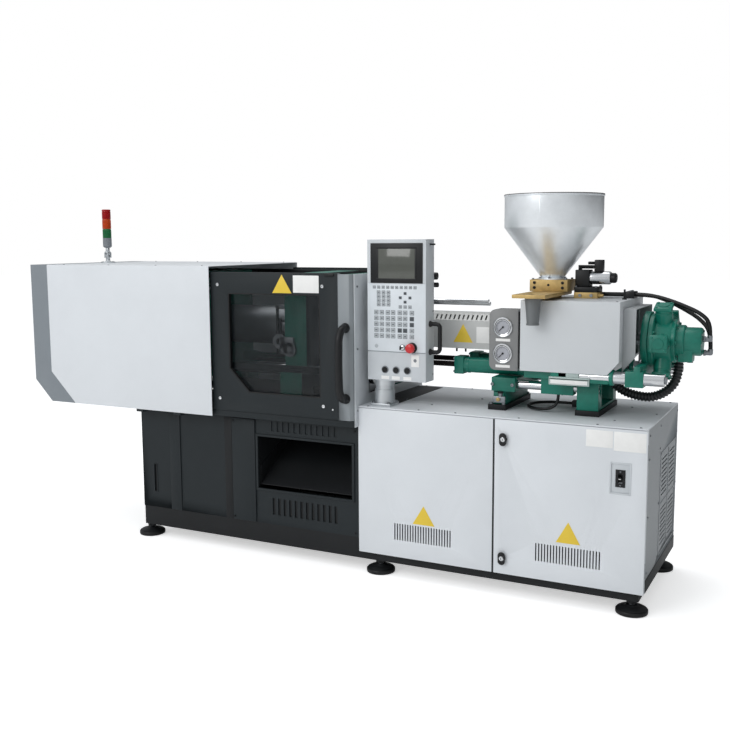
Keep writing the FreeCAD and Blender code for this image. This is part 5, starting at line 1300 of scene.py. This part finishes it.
@dataclass
class Drive:
    """Thrust plate, screw and radial piston motor."""

    axis_z: float = 1015.0
    lobe_x: float = 1391.0

    def thrust(self) -> None:
        """Round the thrust plate and bolt it, and dress the screw."""
        plate = Shape("thrust_plate_cast")
        plate.copy_node("thrust_plate", GREEN, 2.5)
        for across in ring(8, 98, (0, self.axis_z), 0.5):
            plate.rod(Axis.X, across, (1312, 1318), 7, GROUND, 0.8, sides=6)
        plate.done("thrust", ["thrust_plate"])
        dress("screw", GROUND)

    def motor(self) -> None:
        """Build the motor: flange, ribbed case, lobes and their caps, distributor, port block and elbows."""
        motor = Shape("hydraulic_motor_cast")
        z = self.axis_z
        motor.lathe(Axis.X, (0, z), [(0, 1342.1), (102, 1342.1), (104, 1344), (104, 1358), (100, 1362),
                                     (88, 1364), (85, 1368),
                                     (85, 1416), (82, 1424), (84, 1428), (84, 1438), (82, 1440), (63, 1441),
                                     (63, 1466),
                                     (60, 1470), (55, 1471), (55, 1526), (51, 1532), (0, 1532)], GREEN, 72)
        for i in range(5):
            self.lobe(motor, 72 * i)
        for across in ring(8, 96, (0, z), 0.5):
            motor.rod(Axis.X, across, (1360, 1368), 6.5, GREEN, 0.8, sides=6)
        for across in ring(6, 45, (0, z)):
            motor.screw(Axis.X, across, (1531, 1535), 5, GREEN)
        for across in ring(6, 74, (0, z)):
            motor.rod(Axis.X, across, (1439, 1446), 6, GREEN, 0.8, sides=6)
        motor.box((1448, -44, z - 77), (1502, 20, z - 20), GREEN, 3.0)
        for x in (1460, 1490):
            motor.lathe(Axis.Z, (x, -12),
                        [(0, z - 81), (11, z - 81), (12, z - 79), (12, z - 76), (0, z - 76)], GROUND, 24)
        motor.lathe(Axis.Z, (1440, 44),
                    [(19, z - 85), (23, z - 85), (23, z - 60), (18, z - 52), (18, z - 40), (0, z - 40)],
                    GROUND, 40)
        for y, height in ((8, z + 10), (34, z - 45)):
            motor.rod(Axis.X, (y, height), (1531, 1557), 9.9, GROUND, 1.0, sides=32)
            motor.rod(Axis.X, (y, height), (1532, 1541), 13, GROUND, 1.0, sides=6)
            motor.lathe(Axis.Z, (1557, y), [(0, height - 10), (7, height - 8.5), (9.9, height - 3),
                                            (9.9, height + 14), (9, height + 15),
                                            (0, height + 15)], GROUND, 32)
        motor.done("thrust", ["hydraulic_motor"])

    def lobe(self, motor: Shape, degrees: float) -> None:
        """Add one cylinder of the motor, with its square cap and four bolts."""
        angle = math.radians(degrees)
        ahead = Vector((0, -math.cos(angle), math.sin(angle)))
        side = Vector((0, ahead.z, -ahead.y))
        seat = Matrix.Translation((self.lobe_x, 0,
                                   self.axis_z)) @ Matrix((Vector((1, 0, 0)), side,
                                                           ahead)).transposed().to_4x4()
        part = Shape("lobe", motor.finishes)
        part.lathe(Axis.Z, (0, 0), [(0, 60), (33, 60), (33, 118), (31, 120), (31, 124), (33, 126), (33, 133),
                                    (0, 133)], GREEN, 40)
        part.box((-33.5, -33.5, 132), (33.5, 33.5, 147), GREEN, 3.0)
        part.lathe(Axis.Z, (0, 0), [(0, 147), (21, 147), (20, 150), (0, 150)], GREEN, 40)
        for dx in (-24, 24):
            for dy in (-24, 24):
                part.rod(Axis.Z, (dx, dy), (146.5, 149.9), 5.5, GREEN, 0.8, sides=6)
        part.box((-5, -30, 70), (5, 30, 128), GREEN, 2.0)
        bmesh.ops.transform(part.mesh, matrix=seat, verts=part.mesh.verts)
        motor.take(part.mesh, None)

    def build(self) -> None:
        """Build the drive."""
        self.thrust()
        self.motor()


# ------------------------------------------------------------------ hoses and cables

class Lay(Enum):
    """How a cord's surface is made."""

    SMOOTH = "smooth"
    CORRUGATED = "corrugated"


@dataclass
class Cord:
    """A hose, conduit or cable on a smooth line between two fittings."""

    node: str
    route: Sequence[Point]
    radius: float
    bodies: tuple[str, str]
    bend: tuple[Point, Point]
    finish: Finish
    slot: str
    stiffness: str = "medium"
    lay: Lay = Lay.SMOOTH
    pitch: float = 13.0

    def curve(self, depth: float, steps: int) -> bpy.types.Object:
        """Return a temporary curve on the route.

        Args:
            depth: the tube's radius in millimetres, or nothing for the bare line.
            steps: the resolution along the line.

        Returns:
            The curve's object.
        """
        data = bpy.data.curves.new("line", "CURVE")
        data.dimensions = "3D"
        data.resolution_u = steps
        data.bevel_depth = depth * MM
        data.bevel_resolution = 6
        data.use_fill_caps = True
        spline = data.splines.new("NURBS")
        spline.points.add(len(self.route) - 1)
        for point, at in zip(spline.points, self.route):
            point.co = (at[0] * MM, at[1] * MM, at[2] * MM, 1.0)
        spline.order_u = 3
        spline.use_endpoint_u = True
        return bpy.data.objects.new("line", data)

    def build(self) -> None:
        corrugated = self.lay is Lay.CORRUGATED
        steps = 40 if corrugated else 12
        line = self.curve(0.0, steps)
        tube = self.curve(self.radius, steps)
        path = [v.co.copy() for v in bpy.data.meshes.new_from_object(line).vertices]
        data = bpy.data.meshes.new_from_object(tube)
        data.name = self.node + "_laid"
        if corrugated:
            self.corrugate(data, path)
        data.materials.clear()
        data.materials.append(self.finish.material())
        for face in data.polygons:
            face.use_smooth = True
        piece = bpy.data.objects.new(self.node + "_laid", data)
        bpy.context.scene.collection.objects.link(piece)
        for spare in (line, tube):
            bpy.data.curves.remove(spare.data)
        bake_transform(piece)
        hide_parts(self.node)

    def corrugate(self, data: bpy.types.Mesh, path: Sequence[Vector]) -> None:
        """Draw the tube in between its ribs, by each point's distance along the line."""
        reach = [0.0]
        for a, b in zip(path, path[1:]):
            reach.append(reach[-1] + (b - a).length)
        tree = KDTree(len(path))
        for i, point in enumerate(path):
            tree.insert(point, i)
        tree.balance()
        for vertex in data.vertices:
            centre, i, _far = tree.find(vertex.co)
            wave = 0.5 - 0.5 * math.cos(math.tau * reach[i] / (self.pitch * MM))
            vertex.co = centre + (vertex.co - centre) * (1 - 0.2 * wave)


CORDS = (
    Cord("hose_upper",
         ((1262, 58, 1187), (1320, 58, 1187), (1390, 40, 1172), (1460, 25, 1148), (1518, 14, 1124),
          (1557, 8, 1088), (1557, 8, 1040)), 8.0, ("carriage", "thrust"),
         ((1.27, 0, 1.1), (1.55, 0, 1.1)), RUBBER, "black_rubber"),
    Cord("hose_lower",
         ((1262, 84, 1187), (1318, 84, 1187), (1388, 76, 1164), (1452, 62, 1134), (1515, 48, 1098),
          (1557, 34, 1050), (1557, 34, 985)), 8.0, ("carriage", "thrust"),
         ((1.27, 0, 1.1), (1.55, 0, 1.1)), RUBBER, "black_rubber"),
    Cord("conduit", ((1060, 44, 885), (1122, 44, 885), (1176, 44, 836), (1228, 44, 798), (1284, 44, 782),
                     (1347, 44, 780),
                     (1406, 44, 812), (1440, 44, 868), (1440, 44, 930)), 20.0, ("carriage", "thrust"),
         ((1.12, 0, 0.85), (1.38, 0, 0.85)), CONDUIT, "black_plastic", "limp", Lay.CORRUGATED),
    Cord("sensor_cable",
         ((1010, -130, 798), (1010, -130, 764), (986, -137, 738), (940, -136, 731), (894, -112, 730),
          (864, -66, 730), (862, -14, 730), (884, 26, 731), (932, 48, 732), (980, 47, 733), (1022, 47, 733)),
         6.0, ("carriage", "machine"), ((0.98, -0.13, 0.78), (0.94, 0.0, 0.73)), RUBBER, "black_rubber",
         "limp"),
)


# ------------------------------------------------------------------ studio

@dataclass
class Studio:
    """A pale floor, soft lights and the camera."""

    place: Point = (2.04693, -3.85170, 1.41202)
    yaw: float = 27.074
    pitch: float = 7.434
    roll: float = 0.356
    lens: float = 47.42

    def camera(self) -> None:
        """Set the camera."""
        data = bpy.data.cameras.new("camera")
        data.lens = self.lens
        data.sensor_width = 36.0
        data.clip_end = 100.0
        camera = bpy.data.objects.new("camera", data)
        bpy.context.scene.collection.objects.link(camera)
        turn = (Matrix.Rotation(math.radians(self.yaw), 4,
                                "Z") @ Matrix.Rotation(math.radians(90 - self.pitch), 4, "X")
                @ Matrix.Rotation(math.radians(-self.roll), 4, "Z"))
        camera.matrix_world = Matrix.Translation(self.place) @ turn
        bpy.context.scene.camera = camera

    def light(self, name: str, place: Point, aim: Point, power: float, size: float) -> None:
        """Add a soft square light that points at a place."""
        data = bpy.data.lights.new(name, "AREA")
        data.energy = power
        data.size = size
        lamp = bpy.data.objects.new(name, data)
        bpy.context.scene.collection.objects.link(lamp)
        direction = Vector(aim) - Vector(place)
        turn = direction.to_track_quat("-Z", "Y").to_matrix().to_4x4()
        lamp.matrix_world = Matrix.Translation(place) @ turn

    def floor(self) -> None:
        """Lay the floor, with its paper finish."""
        form = bmesh.new()
        bmesh.ops.create_grid(form, x_segments=2, y_segments=2, size=30.0)
        data = bpy.data.meshes.new("floor")
        form.to_mesh(data)
        form.free()
        paper = bpy.data.materials.new("studio_paper")
        paper.use_nodes = True
        shader = paper.node_tree.nodes["Principled BSDF"]
        shader.inputs["Base Color"].default_value = linear("#FFFFFF")
        shader.inputs["Roughness"].default_value = 0.9
        shader.inputs["Emission Color"].default_value = linear("#FFFFFF")
        seen = add(paper.node_tree, "LightPath")
        lift = add(paper.node_tree, "Math", {0: seen.outputs["Is Camera Ray"]}, {1: 0.5},
                   operation="MULTIPLY")
        paper.node_tree.links.new(lift.outputs[0], shader.inputs["Emission Strength"])
        data.materials.append(paper)
        floor = bpy.data.objects.new("floor", data)
        bpy.context.scene.collection.objects.link(floor)

    def build(self) -> None:
        """Build the studio."""
        self.camera()
        self.floor()
        self.world()
        bpy.context.scene.view_settings.view_transform = "Standard"
        self.light("key", (-1.8, -5.2, 3.6), (0.0, 0.0, 0.9), 92, 3.0)
        self.light("top", (-0.3, 0.4, 4.6), (0.0, 0.0, 0.9), 60, 3.5)

    def world(self) -> None:
        """Light softly from the front left and from above; the camera sees plain white."""
        world = bpy.data.worlds.new("studio")
        world.use_nodes = True
        tree = world.node_tree
        tree.nodes.clear()
        way = add(tree, "TexCoord")
        toward = add(tree, "VectorMath", {0: way.outputs["Generated"]}, {1: (-0.52, -0.60, 0.61)},
                     operation="DOT_PRODUCT")
        level = add(tree, "MapRange", {"Value": toward.outputs["Value"]},
                    {"From Min": -0.7, "From Max": 0.9, "To Min": 0.04, "To Max": 0.82})
        soft = add(tree, "Background", {"Strength": level.outputs[0]}, {"Color": (0.96, 0.98, 1.0, 1.0)})
        plain = add(tree, "Background", {}, {"Color": (1.0, 1.0, 1.0, 1.0), "Strength": 1.0})
        path = add(tree, "LightPath")
        mixed = add(tree, "MixShader",
                    {0: path.outputs["Is Camera Ray"], 1: soft.outputs[0], 2: plain.outputs[0]})
        add(tree, "OutputWorld", {"Surface": mixed.outputs[0]})
        bpy.context.scene.world = world


def main() -> None:
    """Build the machine and the studio in order."""
    logging.basicConfig(level=logging.INFO, format="%(name)s %(message)s")
    for assembly in (Base(), Cabinet(), ClampCover(), ClampUnit(), Gates(), OperatorPanel(), InjectionUnit(),
                     Drive()):
        log.info("building %s", type(assembly).__name__)
        assembly.build()
    for cord in CORDS:
        cord.build()
    Studio().build()


if __name__ == "__main__":
    main()
